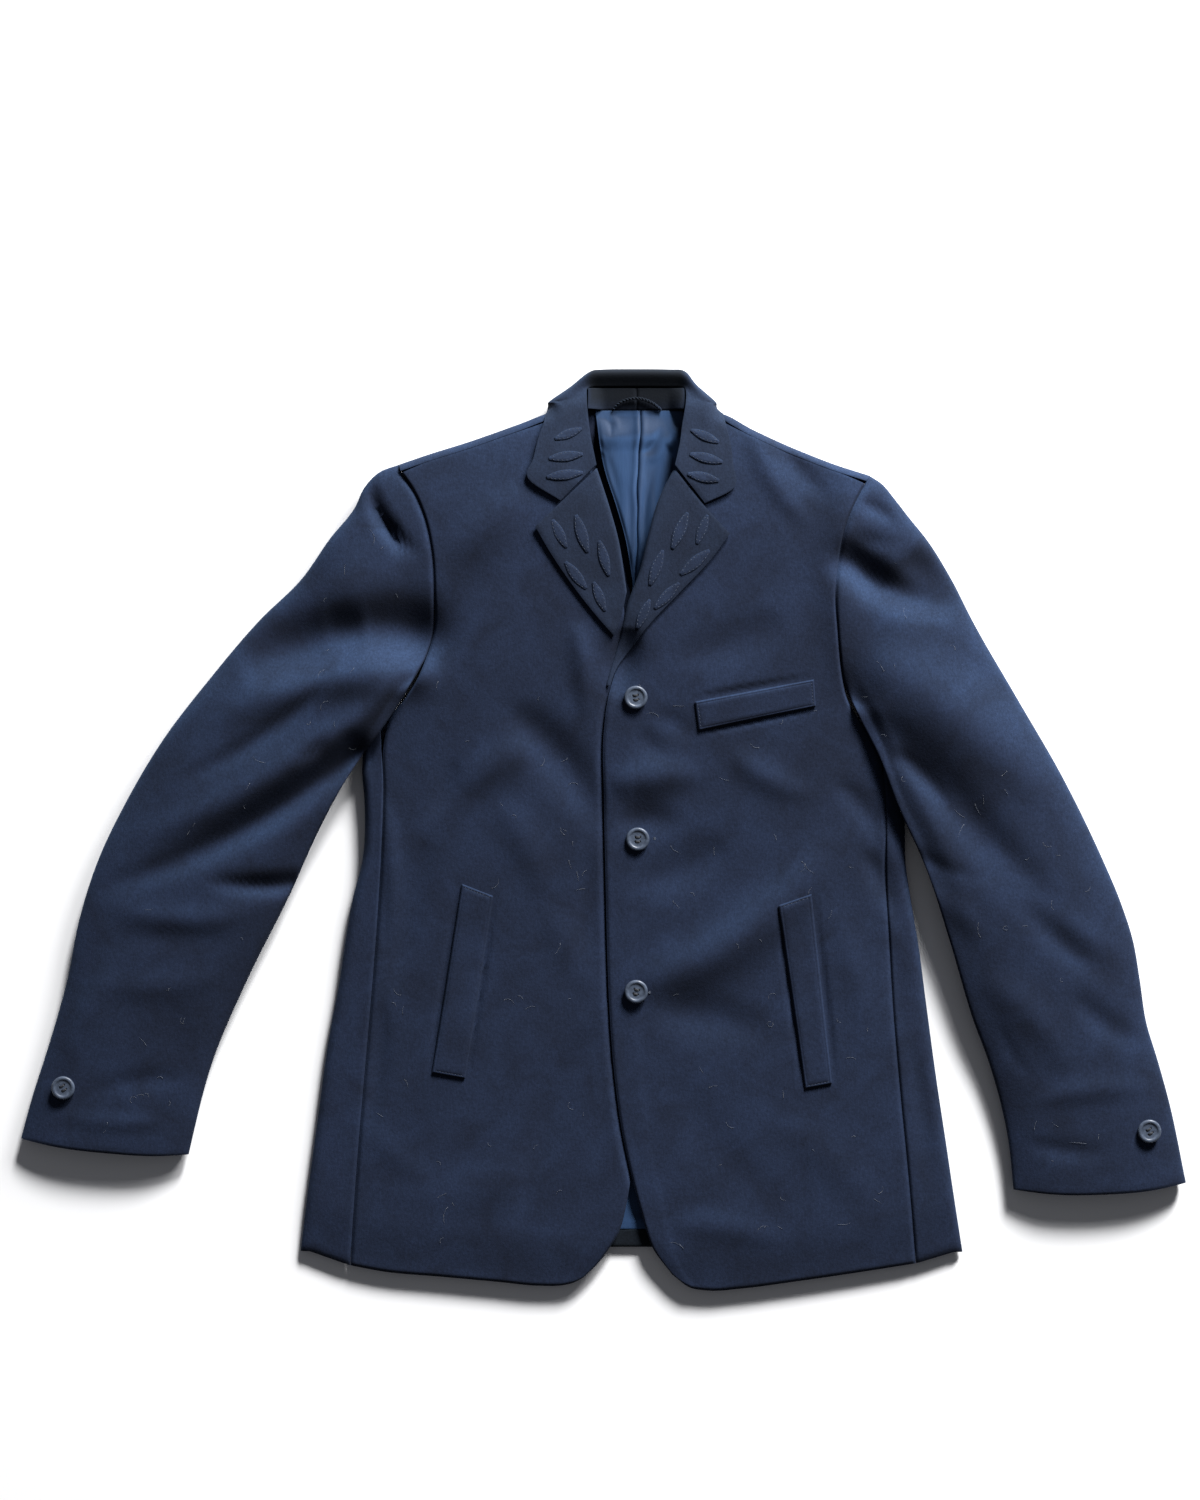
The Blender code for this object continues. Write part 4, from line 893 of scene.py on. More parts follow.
# From the right notch, behind the neck, to the left notch. The inner line is where the
# collar rolls and the edge line is its outer edge, which goes under behind the neck. The
# last number is how far the fall stands up before it turns over.
collarSections = [
    # inner x, y, z        middle x, y, z         edge x, y, z           crest
    (-6.5, 311.3, 26.3, -22.0, 295.5, 27.6, -37.0, 280.2, 27.7, 0.0),
    (-8.6, 321.6, 25.0, -37.0, 310.0, 26.6, -64.6, 299.0, 27.3, 0.0),
    (-11.2, 334.5, 23.0, -36.0, 325.5, 24.6, -60.2, 316.5, 25.5, 0.0),
    (-12.9, 347.4, 20.6, -35.0, 341.0, 22.0, -56.0, 334.0, 22.9, 0.0),
    (-14.2, 360.3, 18.6, -33.5, 355.0, 20.0, -51.4, 347.5, 19.6, 0.2),
    (-14.6, 367.5, 16.6, -41.5, 364.2, 16.5, -50.2, 356.0, 11.0, 0.6),
    (-14.8, 372.8, 14.6, -47.4, 366.0, 11.0, -48.6, 352.0, 3.0, 1.6),
    (-14.2, 377.4, 12.2, -29.4, 379.0, 8.4, -29.2, 350.0, 0.0, 2.8),
    (-9.5, 379.2, 10.2, -12.6, 392.2, 7.4, -12.0, 346.0, 0.0, 3.8),
    (0.0, 379.6, 9.6, 0.0, 394.3, 7.0, 0.0, 344.4, 0.0, 4.2),
    (27.5, 379.8, 9.4, 27.5, 394.6, 6.8, 27.5, 344.0, 0.0, 4.3),
    (55.0, 379.6, 9.6, 55.6, 394.3, 7.0, 55.0, 344.4, 0.0, 4.2),
    (64.8, 379.2, 10.2, 69.4, 392.8, 7.4, 66.0, 346.0, 0.0, 3.8),
    (69.4, 377.4, 12.2, 79.4, 381.0, 8.4, 79.0, 350.0, 0.0, 2.8),
    (70.2, 372.4, 14.6, 95.6, 366.0, 11.0, 98.0, 351.0, 3.0, 1.6),
    (70.0, 367.0, 16.6, 92.0, 363.0, 16.5, 102.0, 356.0, 11.0, 0.6),
    (69.2, 360.0, 18.6, 87.5, 353.5, 20.0, 103.8, 346.5, 19.6, 0.2),
    (66.6, 345.0, 20.9, 88.0, 338.5, 22.3, 107.6, 331.1, 22.9, 0.0),
    (65.0, 332.0, 23.3, 88.0, 321.0, 25.0, 110.1, 311.0, 25.7, 0.0),
    (62.5, 320.0, 25.2, 87.0, 306.0, 26.7, 110.9, 291.5, 27.3, 0.0),
    (60.4, 310.9, 26.3, 73.0, 294.5, 27.6, 85.9, 278.0, 27.7, 0.0),
]


def collarSection(s):
    # Five points across the collar at one place along it.
    keys = list(range(len(collarSections)))
    key = s * keys[-1]
    row = []
    for column in range(10):
        values = [section[column] for section in collarSections]
        row.append(hermite(keys, values, slopesOf(keys, values), key))
    inner = Vector(row[0:3])
    middle = Vector(row[3:6])
    edge = Vector(row[6:9])
    turned = smoothStep(key, 4.6, 6.2) * smoothStep(-key, -15.4, -13.8)
    upper = inner.lerp(middle, 0.8)
    upper.z = inner.z + (0.6 - 0.4 * turned) * (middle.z - inner.z) + row[9]
    lower = edge.lerp(middle, 0.92)
    lower.z = edge.z + 0.05 * (middle.z - edge.z)
    lower = ((middle + edge) / 2).lerp(lower, turned)
    for point in (inner, upper, middle, lower, edge):
        point.z += collarEase * smoothStep(point.z, 12, 20) * (1 - turned)
    return [inner, upper, middle, lower, edge]


collarRows = {}


def collarPoint(s, t):
    if s not in collarRows:
        collarRows[s] = collarSection(s)
    points = collarRows[s]
    keys = [0.0]
    for a, b in zip(points, points[1:]):
        keys.append(keys[-1] + (b - a).length)
    place = t * (len(points) - 1)
    index = min(int(place), len(points) - 2)
    key = keys[index] + (keys[index + 1] - keys[index]) * (place - index)
    found = hermite(keys, points, slopesOf(keys, points), key)
    return found.x, found.y, max(found.z, 0.0)


collarCloth = {"along": 120, "across": 34}
makeSheet("collar_cloth", ["collar"], even(collarCloth["along"]), even(collarCloth["across"]),
          lambda s, t: collarPoint(s, 1 - t), wall["collar"], facingFinish, flip=True)

standCloth = {"left": -13.6, "width": 82.4, "bottom": 360.0, "height": 18.0, "seamX": 28.0,
              "columns": 44}


def standHeight(x, y):
    # The band leans up from the neck seam to the collar and climbs at both ends.
    ends = smoothStep(abs(x - neckMiddle), 26, 42)
    return 5.6 + 0.17 * (y - 360) + (10.2 - 0.42 * (y - 360)) * ends


def standFace(u, v):
    x = standCloth["left"] + standCloth["width"] * u
    y = standCloth["bottom"] + standCloth["height"] * v
    seam = rolled(abs(x - standCloth["seamX"]), 0.9, 0.9)
    return x, y, standHeight(x, y) - seam + 0.3 * math.sin(math.pi * v)


# closer columns round the seam in the middle of the band
seamColumns = [0.4985, 0.5005, 0.503, 0.505, 0.507, 0.5095, 0.5115]
makeSheet("stand_cloth", ["collar_stand"], sorted(even(standCloth["columns"]) + seamColumns), even(12),
          standFace, wall["collar"], facingFinish)


def ringEdges(ring):
    return [e for e in {e for v in ring for e in v.link_edges} if all(v in ring for v in e.verts)]


def addTube(bm, points, radiusAt, sides):
    # Rings of vertices carried along the points and bridged, with capped ends.
    rings = []
    last = len(points) - 1
    for i, point in enumerate(points):
        ahead = (points[min(i + 1, last)] - points[max(i - 1, 0)]).normalized()
        made = bmesh.ops.create_circle(bm, segments=sides, radius=radiusAt(i / last), cap_ends=False)
        ring = made["verts"]
        turn = ahead.to_track_quat("Z", "Y").to_matrix().to_4x4()
        turn.translation = point
        bmesh.ops.transform(bm, matrix=turn, verts=ring)
        rings.append(ring)
    for first, second in zip(rings, rings[1:]):
        bmesh.ops.bridge_loops(bm, edges=ringEdges(first) + ringEdges(second))
    for ring in (rings[0], rings[-1]):
        bmesh.ops.contextual_create(bm, geom=ring)


loopCord = {"length": 42.0, "twist": 5.0, "strandRadius": 0.8, "strandOff": 0.75, "steps": 60}
route = through([(7.5, 359.4, 7.2), (12, 364.4, 8.6), (21, 368.4, 9.4), (31, 369.0, 9.5), (41, 365.6, 8.9),
                 (49, 359.6, 7.4)])
bm = bmesh.new()
for phase in (0.0, math.pi):
    strand = []
    for t in even(loopCord["steps"]):
        angle = phase + t * loopCord["length"] / loopCord["twist"] * 2 * math.pi
        off = loopCord["strandOff"]
        aside = Vector((off / 3 * math.cos(angle), off * math.cos(angle), off * math.sin(angle)))
        strand.append((route(t) + aside) * mm)
    addTube(bm, strand, lambda t: loopCord["strandRadius"] * mm, 6)
stands(fromBmesh("hanger_cord", bm, facing), ["hanger_loop"])
print("collar made")

# Lining behind the neck and at the hem, with the back's turned-up hem.

liningCloth = {"gap": 6.5, "pleat": 0.7, "top": 359.2, "bottom": 186.0, "right": 68.0, "rise": 4.6,
               "ease": 0.4, "hemLeft": -30.0, "hemWidth": 100.0, "hemBottom": -343.2, "hemHeight": 83.0,
               "turnupLeft": -34.0, "turnupWidth": 108.0, "turnupBottom": -358.6, "turnupHeight": 15.0,
               "base": 1.4, "pleatAside": 3.0, "pleatWidth": 2.4, "seamSink": 0.9, "curl": 1.6,
               "curlWidth": 2.2, "hemGap": 0.75, "easeFold": 0.8, "easeFoldY": -336.0, "easeFoldWidth": 4.5}
satinFolds = linesOf([
    (-12, 352, 6, 338, 9, 3, -3.2, 0), (-4, 356, 12, 344, 6, 3, 2.4, 0), (-9, 340, 0, 322, -3, 3, 2.0, 0),
    (-1, 326, 15, 258, 3, 5, -1.4, 0), (10, 346, 21, 240, -4, 12, 1.6, 0), (20, 352, 27, 300, 3, 7, -0.5, 0),
    (18, 300, 25, 226, 2, 5, -0.5, 0), (33, 322, 48, 346, -4, 4, -1.8, 0), (38, 316, 56, 342, -5, 5, 1.8, 0),
    (34, 306, 31, 232, -2, 4, 0.9, 0), (41, 300, 34, 246, -3, 4, -1.3, 0), (47, 312, 42, 250, -3, 6, 1.3, 0),
    (52, 330, 60, 300, 3, 4, -1.8, 0), (55, 352, 64, 318, 4, 5, 2.0, 0), (30, 238, 28, 210, 1, 2, 1.0, 0),
])
rightRollX = lookup([(y, x) for x, y in [(20.5, 180)] + rightRoll + [(-14.2, 360.3)]])


def pleatX(y):
    # The centre seam leans a little.
    return 26.7 + 4.3 * (y - 212) / 147 + 0.7 * math.sin((y - 20) / 16) + 0.3 * math.sin(y / 5.3)


def liningWave(x, y):
    # Satin that lies in soft upright waves.
    return (0.08 * math.sin((x + 0.12 * y) / 7.5) + 0.25 * math.sin((x - 0.3 * y) / 16)
            + 0.1 * math.sin((x - 0.22 * y) / 4.1 + 1.1) * math.sin(y / 31))


def liningNeck(side):
    def place(u, v):
        y = liningCloth["bottom"] + (liningCloth["top"] - liningCloth["bottom"]) * v
        seam = pleatX(y)
        if side < 0:
            start, end = min(rightRollX(y) + liningCloth["gap"], seam - 2.0), seam - 0.1
        else:
            start, end = seam + 0.1, liningCloth["right"]
        x = start + (end - start) * u
        free = smoothStep(y, *zones["liningUp"]) * smoothStep(-y, *zones["liningDown"])
        under = neckLift(x, y) + wall["wool"]
        away = abs(x - seam)
        # the pleat stands up beside the seam and the seam itself sinks
        pleat = rolled(away - liningCloth["pleatAside"], liningCloth["pleat"], liningCloth["pleatWidth"])
        pleat -= rolled(away, liningCloth["seamSink"], 0.9)
        middle = 1 - smoothStep(x, *zones["liningFlat"])
        curl = rolled(x - start, liningCloth["curl"], liningCloth["curlWidth"]) if side < 0 else 0.0
        folds = creasesAt(satinFolds, x, y) / creaseStrength
        rise = liningCloth["base"] + liningCloth["rise"] * middle + liningWave(x, y) + folds - curl
        laid = under + liningCloth["ease"] + wall["lining"]
        return x, y, laid + free * max(rise, 0.0) + pleat * smoothStep(y, *zones["pleatUp"])
    return place


for name, side, columns, width in (("right", -1, 44, 30.0), ("left", 1, 56, 38.0)):
    makeSheet(name + "_neck_satin", ["lining_neck_" + name], spread(columns, width, (0, 0.5, 1.0, 1.6, 2.3)),
              even(120), liningNeck(side), wall["lining"], satinFinish, rim=0.3)


def hemLining(u, v):
    x = liningCloth["hemLeft"] + liningCloth["hemWidth"] * u
    y = liningCloth["hemBottom"] + liningCloth["hemHeight"] * v
    wave = 0.6 * math.sin(x / 9) + 0.35 * math.sin((x + 0.5 * y) / 5.3) * smoothStep(v, 0.05, 0.3)
    fold = rolled(y - liningCloth["easeFoldY"], liningCloth["easeFold"], liningCloth["easeFoldWidth"])
    laid = wall["wool"] + liningCloth["ease"] + wall["lining"] + liningCloth["hemGap"]
    return x, y, laid + wave + fold


def hemTurnup(u, v):
    x = liningCloth["turnupLeft"] + liningCloth["turnupWidth"] * u
    up = liningCloth["turnupHeight"] * v
    return x, liningCloth["turnupBottom"] + up, 2 * wall["wool"] + liningCloth["ease"] - rolled(up, 0.5, 1.0)


makeSheet("hem_satin", ["lining_hem"], even(44), even(36), hemLining, wall["lining"], satinFinish, rim=0.3)
# the turn-up takes the wool painted with shade
makeSheet("back_hem_cloth", ["hem_turnup"], even(40), even(10), hemTurnup, wall["wool"], hemShadeFinish)
print("lining made")

# Pocket welts, each sewn down all round.

weltCloth = {"edge": 0.9, "stitchInset": 2.2, "stitchDepth": 0.35, "pitch": 2.6, "stitch": 1.9,
             "thread": 0.17, "threadDepth": 0.22}
welts = {  # four corners, anticlockwise from the lower left
    "welt_breast": [(80.8, 84.3), (180.6, 104.9), (178.9, 128.1), (77.4, 109.2)],
    "welt_left": [(172.0, -221.9), (195.2, -217.6), (177.2, -55.0), (148.8, -64.5)],
    "welt_right": [(-147.1, -208.1), (-118.7, -213.3), (-94.6, -56.8), (-121.3, -46.4)],
}


def weltPlan(corners):
    # A place on the welt from u and v, with its width and its length.
    lowLeft, lowRight, highRight, highLeft = [Vector(corner) for corner in corners]

    def plan(u, v):
        return lowLeft.lerp(lowRight, u).lerp(highLeft.lerp(highRight, u), v)
    return plan, (lowRight - lowLeft).length, (highLeft - lowLeft).length


for name, corners in welts.items():
    plan, wide, tall = weltPlan(corners)

    def weltFace(u, v):
        x, y = plan(u, v)
        nearest = min(min(u, 1 - u) * wide, min(v, 1 - v) * tall)
        pressed = weltCloth["stitchDepth"] * math.exp(-((nearest - weltCloth["stitchInset"]) / 0.7) ** 2)
        return x, y, faceHeight(x, y) + weltLift - pressed - rolled(nearest, weltCloth["edge"], 0.8)

    tight = (0, 0.5, 1.1, 1.7, 2.2, 2.8, 3.6)
    makeSheet("sewn_" + name, [name], spread(max(8, round(wide / 3)), wide, tight),
              spread(max(6, round(tall / 3)), tall, tight), weltFace, wall["facing"], woolFinish)
print("welts made")

# Buttons with four holes, each sewn on with thread.

buttonShape = {
    "radius": 10.0, "steps": 56, "holeRadius": 0.95, "holeSpread": 1.9, "threadRadius": 0.27, "strands": 3,
    "strandPitch": 0.42, "threadTop": 2.43, "bevel": 0.12, "drillDepth": 12.0, "frontLift": 0.4,
    "cuffLift": 0.5, "cuffTurn": 0.5,
    "profile": [  # radius, height, as fractions of the button's radius
        (0.0, 0.235), (0.30, 0.235), (0.50, 0.237), (0.60, 0.243), (0.66, 0.262), (0.70, 0.29), (0.74, 0.312),
        (0.79, 0.322), (0.85, 0.32), (0.91, 0.305), (0.955, 0.27), (0.99, 0.21), (1.0, 0.15), (0.985, 0.08),
        (0.945, 0.03), (0.88, 0.0), (0.0, 0.0)],
    "fronts": [(27.1, 112.7), (28.8, -8.2), (27.5, -138.5)],
    "cuffs": {"button_cuff_left": (465.7, -257.6), "button_cuff_right": (-461.8, -220.6)},
}


def turnedBlank(shape):
    # The profile is spun round, then the four holes are drilled through it.
    bm = bmesh.new()
    radius = shape["radius"] * mm
    ring = [bm.verts.new((r * radius, 0.0, h * radius)) for r, h in shape["profile"]]
    line = [bm.edges.new(pair) for pair in zip(ring, ring[1:])]
    bmesh.ops.spin(bm, geom=ring + line, cent=(0, 0, 0), axis=(0, 0, 1), dvec=(0, 0, 0),
                   angle=2 * math.pi, steps=shape["steps"], use_merge=True)
    bmesh.ops.remove_doubles(bm, verts=bm.verts, dist=0.00002)
    blank = fromBmesh("blank", bm, resin)
    drills = bmesh.new()
    hole = shape["holeRadius"] * mm
    apart = shape["holeSpread"] * mm
    for sx in (-1, 1):
        for sy in (-1, 1):
            made = bmesh.ops.create_cone(drills, cap_ends=True, segments=20, radius1=hole, radius2=hole,
                                         depth=shape["drillDepth"] * mm)
            bmesh.ops.translate(drills, verts=made["verts"], vec=(sx * apart, sy * apart, 0))
    drill = fromBmesh("drill", drills, resin, recalculate=False)
    addModifier(blank, "Holes", "BOOLEAN", object=drill, solver="EXACT")
    addModifier(blank, "Edges", "BEVEL", width=shape["bevel"] * mm, segments=2, limit_method="ANGLE",
                angle_limit=math.radians(50))
    bpy.context.view_layer.update()
    drilled = bpy.data.meshes.new_from_object(blank.evaluated_get(bpy.context.evaluated_depsgraph_get()))
    for made in (blank, drill):
        bpy.data.objects.remove(made, do_unlink=True)
    return drilled


def sewOn(bm, shape, x, y, z, turn):
    # Two bars of thread over the bridges between the holes, and the shank below.
    gap = shape["holeSpread"]
    for side in (-1, 1):
        for k in range(shape["strands"]):
            off = side * gap + (k - (shape["strands"] - 1) / 2) * shape["strandPitch"]
            points = []
            for t in even(10):
                along = (2 * t - 1) * (gap + 0.25)
                arch = math.sin(math.pi * min(max((t - 0.06) / 0.88, 0), 1)) ** 0.45
                rise = shape["threadTop"] + 0.4 * arch if 0 < t < 1 else 0.7
                px = along * math.cos(turn) - off * math.sin(turn)
                py = along * math.sin(turn) + off * math.cos(turn)
                points.append(Vector((x + px, y + py, z + rise)) * mm)
            addTube(bm, points, lambda t: shape["threadRadius"] * mm, 6)
    shank = [Vector((x, y, z + h)) * mm for h in (0.35, -0.1, -0.8, -1.5)]
    addTube(bm, shank, lambda t: (2.1 - 0.3 * math.sin(math.pi * t)) * mm, 12)


def highestUnder(height, x, y, radius):
    turns = [math.pi * k / 8 for k in range(16)]
    ring = [(x + radius * math.cos(a), y + radius * math.sin(a)) for a in turns]
    return max(height(px, py) for px, py in ring + [(x, y)])


def heightNear(samples, x, y, reach, limit):
    # The average height of the samples round a point, the nearest counting most.
    total = weights = 0.0
    for sx, sy, sz in samples:
        gap = (sx - x) ** 2 + (sy - y) ** 2
        if gap < limit:
            weight = math.exp(-gap / reach ** 2)
            total += weight * sz
            weights += weight
    return total / weights if weights else 0.0


def sleeveFinder(plan, low, high):
    # The sleeve's top face at any x, y, from the nearest of many known places on it.
    known = []
    for u in even(60):
        for part in even(60):
            v = low + (high - low) * part
            x, y, base, top = sleeveHeights(plan, u, v)
            middle = (base + top) / 2
            known.append((x, y, middle + (top - middle) * sleeveDome(u, v)))
    return lambda x, y: heightNear(known, x, y, 3.0, 150)


threads = bmesh.new()
blankMesh = turnedBlank(buttonShape)
cuffFace = {"button_cuff_left": sleeveFinder(leftSleevePlan, 0.8, 1.0),
            "button_cuff_right": sleeveFinder(rightSleevePlan, 0.8, 1.0)}
buttonSpots = []
for i, (x, y) in enumerate(buttonShape["fronts"]):
    z = highestUnder(faceHeight, x, y, buttonShape["radius"]) + buttonShape["frontLift"]
    buttonSpots.append(("button_front_%d" % (i + 1), x, y, z, 0.15 - 0.2 * i))
for name, (x, y) in buttonShape["cuffs"].items():
    z = highestUnder(cuffFace[name], x, y, buttonShape["radius"]) + buttonShape["cuffLift"]
    buttonSpots.append((name, x, y, z, buttonShape["cuffTurn"]))
for name, x, y, z, turn in buttonSpots:
    bm = bmesh.new()
    bm.from_mesh(blankMesh)
    bmesh.ops.rotate(bm, verts=bm.verts, cent=(0, 0, 0), matrix=Matrix.Rotation(turn, 3, "Z"))
    bmesh.ops.translate(bm, verts=bm.verts, vec=Vector((x, y, z)) * mm)
    stands(fromBmesh("sewn_" + name, bm, resin, recalculate=False), [name])
    sewOn(threads, buttonShape, x, y, z, turn)
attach(fromBmesh("button_thread", threads, darkThread), "root")
print("buttons made")

# Felt leaves sewn to the lapels and collar.

leafLook = {"lift": 1.0, "stitch": 2.3, "pitch": 3.3, "inset": 1.1, "thread": 0.17, "pressed": 0.22,
            "threadDepth": 0.12, "collarLift": 1.1}
leaves = [  # piece it is sewn to, base x, y, tip x, y, half width
    ("lapel_left", 28, 171, 39, 196, 4.2),
    ("lapel_left", 43, 188, 64, 210, 4.6),
    ("lapel_left", 39, 208, 50, 238, 4.6),
    ("lapel_left", 65, 217, 90, 238, 5.0),
    ("lapel_left", 58, 239, 71, 270, 5.0),
    ("lapel_left", 79, 243, 88, 268, 4.2),
    ("lapel_right", 1, 186, -9, 211, 4.2),
    ("lapel_right", 4, 216, -4, 246, 4.4),
    ("lapel_right", -15, 205, -33, 228, 4.6),
    ("lapel_right", -14, 236, -24, 268, 5.0),
    ("lapel_right", -32, 240, -44, 264, 4.4),
    ("collar", -18, 304, -49, 300, 4.4),
    ("collar", -18, 320, -47, 316, 4.4),
    ("collar", -19, 342, -42, 333, 4.0),
    ("collar", 71, 303, 98, 297, 4.4),
    ("collar", 73, 320, 101, 313, 4.4),
    ("collar", 74, 341, 98, 330, 4.0),
]


def stitch(bm, start, end, thick):
    # One stitch lying on the cloth, as a stretched ball.
    along = end - start
    turn = along.to_track_quat("X", "Z").to_matrix().to_4x4()
    shape = Matrix.Diagonal((along.length / 2, thick, thick * 0.8, 1.0))
    bmesh.ops.create_icosphere(bm, subdivisions=1, radius=1.0,
                               matrix=Matrix.Translation((start + end) / 2) @ turn @ shape)


def stitchLine(bm, path, length, pitch, stitchLength, thick):
    # Running stitches along path(t), t from 0 to 1, where path gives places in mm.
    count = max(1, int(length / pitch))
    for i in range(count):
        t = (i + 0.5) / count
        half = stitchLength / length / 2
        stitch(bm, Vector(path(t - half)) * mm, Vector(path(t + half)) * mm, thick * mm)


collarTop = [place for place in (collarPoint(s, t) for s in even(80) for t in even(24)) if place[2] > 12]
stitches = bmesh.new()
counts = {}
for carrier, x0, y0, x1, y1, half in leaves:
    counts[carrier] = counts.get(carrier, 0) + 1
    base = Vector((x0, y0))
    along = Vector((x1, y1)) - base
    across = Vector((-along.y, along.x)).normalized()

    def leafWidth(u):
        return half * (0.12 + 0.88 * math.sin(math.pi * min(0.04 + 0.92 * u, 1.0)) ** 0.9)

    def onLeaf(u, sideways):
        x, y = base + along * u + across * sideways
        if carrier == "collar":
            return x, y, heightNear(collarTop, x, y, 2.5, 120) + leafLook["collarLift"]
        return x, y, lapelFace(x, y) + leafLook["lift"]

    def leafFace(u, v):
        x, y, z = onLeaf(u, leafWidth(u) * (2 * v - 1))
        nearest = min(leafWidth(u) * 2 * min(v, 1 - v), u * along.length, (1 - u) * along.length)
        pressed = leafLook["pressed"] * math.exp(-((nearest - leafLook["inset"]) / 0.6) ** 2)
        return x, y, z - pressed - rolled(nearest, 0.45, 0.55)

    name = "leaf_%s_%d" % (carrier, counts[carrier])
    makeSheet("sewn_" + name, [name], even(30), even(14), leafFace, wall["leaf"], feltFinish, rim=0.3)
    for side in (-1, 1):
        def seamPath(t):
            u = 0.06 + 0.88 * min(max(t, 0.0), 1.0)
            x, y, z = onLeaf(u, side * max(leafWidth(u) - leafLook["inset"], 0.15))
            return x, y, z - leafLook["threadDepth"]
        stitchLine(stitches, seamPath, along.length * 0.9, leafLook["pitch"], leafLook["stitch"],
                   leafLook["thread"])
print("leaves made", len(leaves))

# Buttonhole ends and the stitching across both ends of each welt.

for x, y in [(43.0, -7.7), (38.7, -139.3)]:     # the far ends of the two lower buttonholes
    z = faceHeight(x, y) + 0.1
    for k in range(-2, 3):
        stitch(stitches, Vector((x - 1.2, y + k * 0.5, z)) * mm, Vector((x + 1.5, y + k * 0.42, z)) * mm,
               0.22 * mm)
for corners in welts.values():
    plan, wide, tall = weltPlan(corners)
    inset = weltCloth["stitchInset"]
    a, b = inset / wide, inset / tall
    for end in (0, 1):
        def endPath(t):
            if wide > tall:
                x, y = plan(abs(end - a), b + (1 - 2 * b) * t)
            else:
                x, y = plan(a + (1 - 2 * a) * t, abs(end - b))
            return x, y, faceHeight(x, y) + weltLift - weltCloth["threadDepth"]
        stitchLine(stitches, endPath, min(wide, tall) - 2 * inset, weltCloth["pitch"], weltCloth["stitch"],
                   weltCloth["thread"])
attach(fromBmesh("topstitching", stitches, stitchThread), "root")
print("stitches made")

# Lint: pale hairs lying on the nap.

lintLook = {"count": 140, "radius": 0.10, "shortest": 5.0, "longest": 17.0, "seed": 11, "curl": 0.24,
            "waver": 0.07, "steps": 7, "lift": 0.22, "taper": 0.6}
chance = random.Random(lintLook["seed"])
lintFields = [  # how many of ten, plan, height, ranges of u and v
    (3, leftFrontPlan, faceHeight, (0.06, 0.95), (0.03, 0.7)),
    (3, rightFrontPlan, faceHeight, (0.2, 0.95), (0.03, 0.75)),
    (2, leftSleevePlan, sleeveFinder(leftSleevePlan, 0.0, 1.0), (0.14, 0.86), (0.06, 0.96)),
    (2, rightSleevePlan, sleeveFinder(rightSleevePlan, 0.0, 1.0), (0.14, 0.86), (0.06, 0.96)),
]
picks = [field[1:] for field in lintFields for k in range(field[0])]
hairs = bmesh.new()
for k in range(lintLook["count"]):
    plan, height, rangeU, rangeV = picks[k % len(picks)]
    x, y = plan(chance.uniform(*rangeU), chance.uniform(*rangeV))
    heading = chance.uniform(0, 2 * math.pi)
    curl = chance.gauss(0, lintLook["curl"])
    length = chance.uniform(lintLook["shortest"], lintLook["longest"]) * chance.uniform(0.4, 1.0)
    step = length / lintLook["steps"]
    points = []
    for i in range(lintLook["steps"] + 1):
        points.append(Vector((x, y, height(x, y) + lintLook["lift"])) * mm)
        x += math.cos(heading) * step
        y += math.sin(heading) * step
        heading += curl + chance.gauss(0, lintLook["waver"])
    addTube(hairs, points, lambda t: lintLook["radius"] * mm * (1.0 - lintLook["taper"] * t), 3)
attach(fromBmesh("wool_lint", hairs, lintFibre), "root")
print("lint made")

# Floor, light and camera.

stageLook = {"floor": "#fbfbfc", "sky": 0.09, "skyColour": "#f3f6ff", "sun": 6.1, "sunElevation": 22.0,
             "sunAzimuth": 20.0, "sunAngle": 12.0, "lampPower": 62.0, "lampSize": 0.9,
             "lampFrom": (1.0, 1.5, 0.72), "lampTo": (0.1, 0.0, 0.0), "floorSize": 4.0, "floorDrop": 0.6,
             "distance": 2.6, "centre": (-3.44, 67.94), "frameHeight": 1.290, "sensor": 24.0}


def placed(name, data):
    made = bpy.data.objects.new(name, data)
    bpy.context.scene.collection.objects.link(made)
    return made


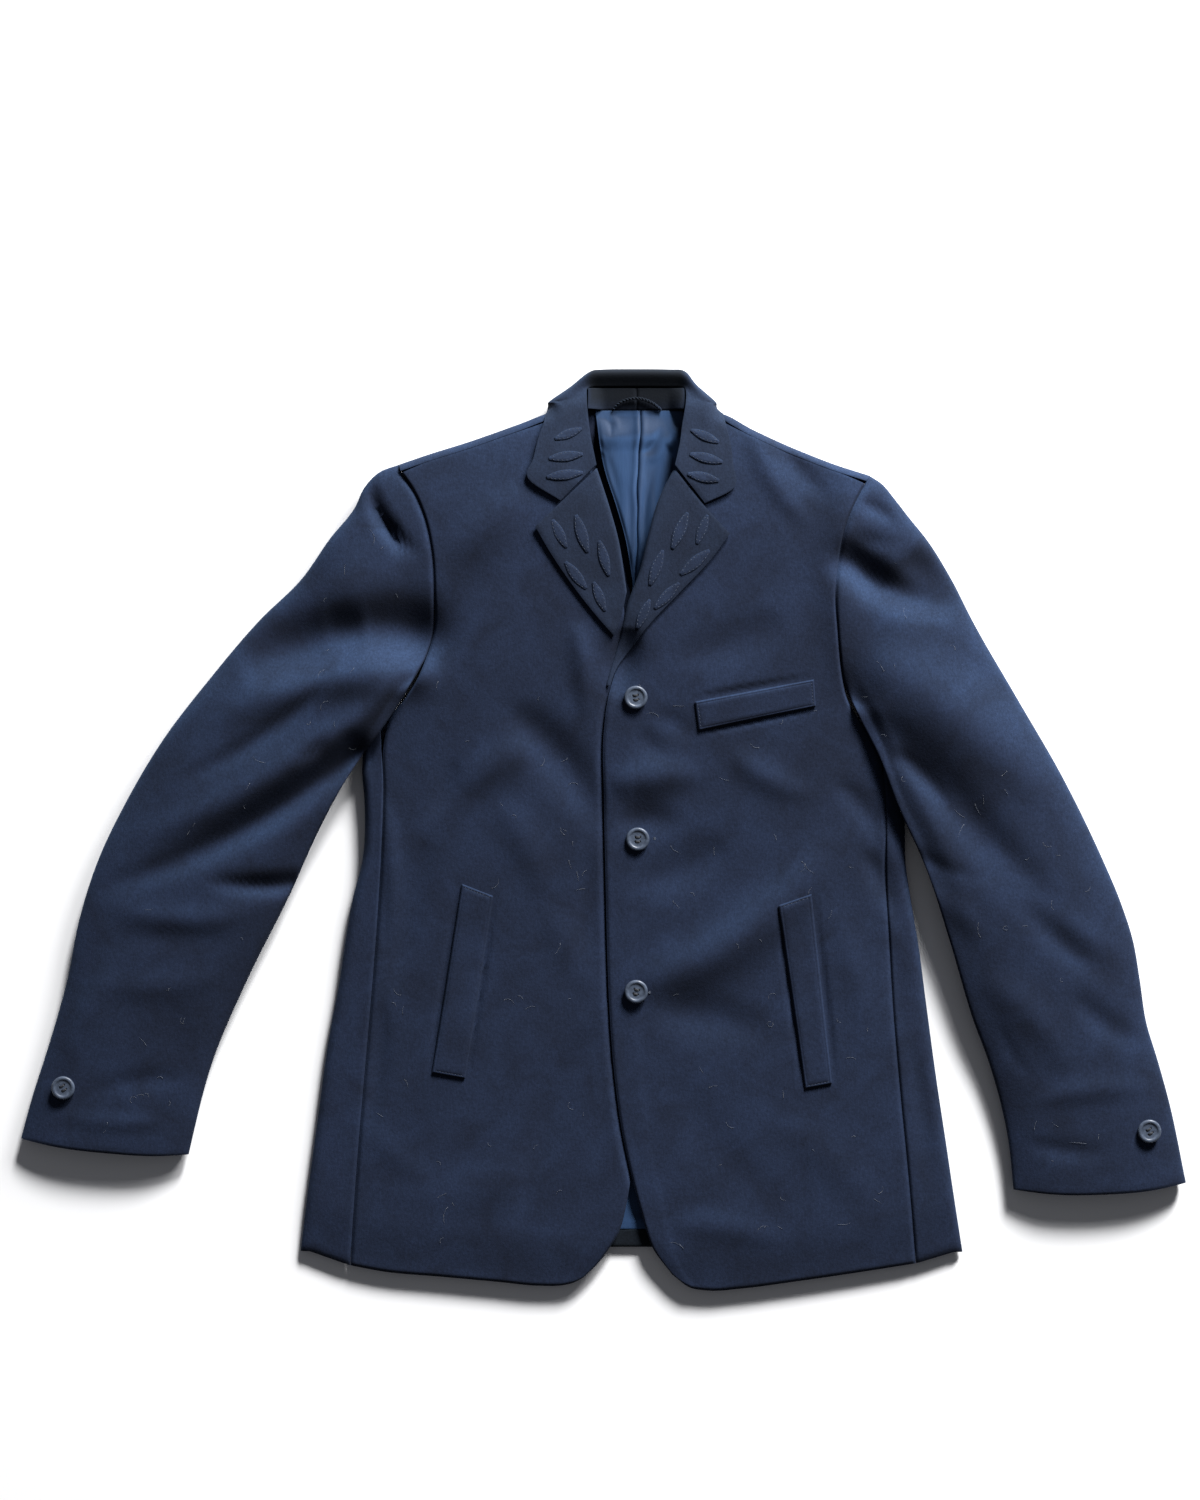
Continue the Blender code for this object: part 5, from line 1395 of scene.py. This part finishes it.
paper, paperTree, paperShader, paperPlace = newMaterial("matt white paper", {
    "Roughness": 0.9, "Specular IOR Level": 0.2})
paperGrain = addNode(paperTree, "TexNoise", {"Vector": paperPlace, "Scale": cellsPer(4.0), "Detail": 3.0})
paperTone = addNode(paperTree, "MapRange", {"Value": paperGrain, "To Min": 0.99, "To Max": 1.0})
paperColour = addNode(paperTree, "VectorMath", {0: linear(stageLook["floor"])[:3], "Scale": paperTone},
                      operation="SCALE")
paperTree.links.new(paperColour.outputs["Vector"], paperShader.inputs["Base Color"])
bm = bmesh.new()
bmesh.ops.create_grid(bm, x_segments=1, y_segments=1, size=stageLook["floorSize"])
bmesh.ops.translate(bm, verts=bm.verts, vec=(0, 0, -stageLook["floorDrop"] * mm))
floorMesh = bpy.data.meshes.new("paper_floor")
bm.to_mesh(floorMesh)
bm.free()
floorMesh.materials.append(paper)
placed("paper_floor", floorMesh)

# a large soft source beyond the collar, low enough to rake across the folds
window = bpy.data.lights.new("window", "SUN")
window.energy = stageLook["sun"]
window.angle = math.radians(stageLook["sunAngle"])
windowPlace = placed("window", window)
windowPlace.rotation_euler = (math.radians(stageLook["sunElevation"] - 90), 0,
                              math.radians(-stageLook["sunAzimuth"]))
# a nearer one at the upper right, so that the left sleeve is the brightest
lamp = bpy.data.lights.new("lamp", "AREA")
lamp.shape = "DISK"
lamp.size = stageLook["lampSize"]
lamp.energy = stageLook["lampPower"]
lampPlace = placed("lamp", lamp)
lampPlace.location = stageLook["lampFrom"]
lampAim = Vector(stageLook["lampTo"]) - Vector(stageLook["lampFrom"])
lampPlace.rotation_euler = lampAim.to_track_quat("-Z", "Y").to_euler()
world = bpy.data.worlds.new("studio")
world.use_nodes = True
sky = world.node_tree.nodes["Background"].inputs
sky["Color"].default_value = linear(stageLook["skyColour"])
sky["Strength"].default_value = stageLook["sky"]
bpy.context.scene.world = world
bpy.context.scene.view_settings.view_transform = "Standard"

lens = bpy.data.cameras.new("camera")
lens.sensor_fit = "VERTICAL"
lens.sensor_height = stageLook["sensor"]
lens.lens = stageLook["sensor"] * stageLook["distance"] / stageLook["frameHeight"]
lens.clip_end = 20.0
camera = placed("camera", lens)
camera.location = (stageLook["centre"][0] * mm, stageLook["centre"][1] * mm, stageLook["distance"])
bpy.context.scene.camera = camera
print("stage set")
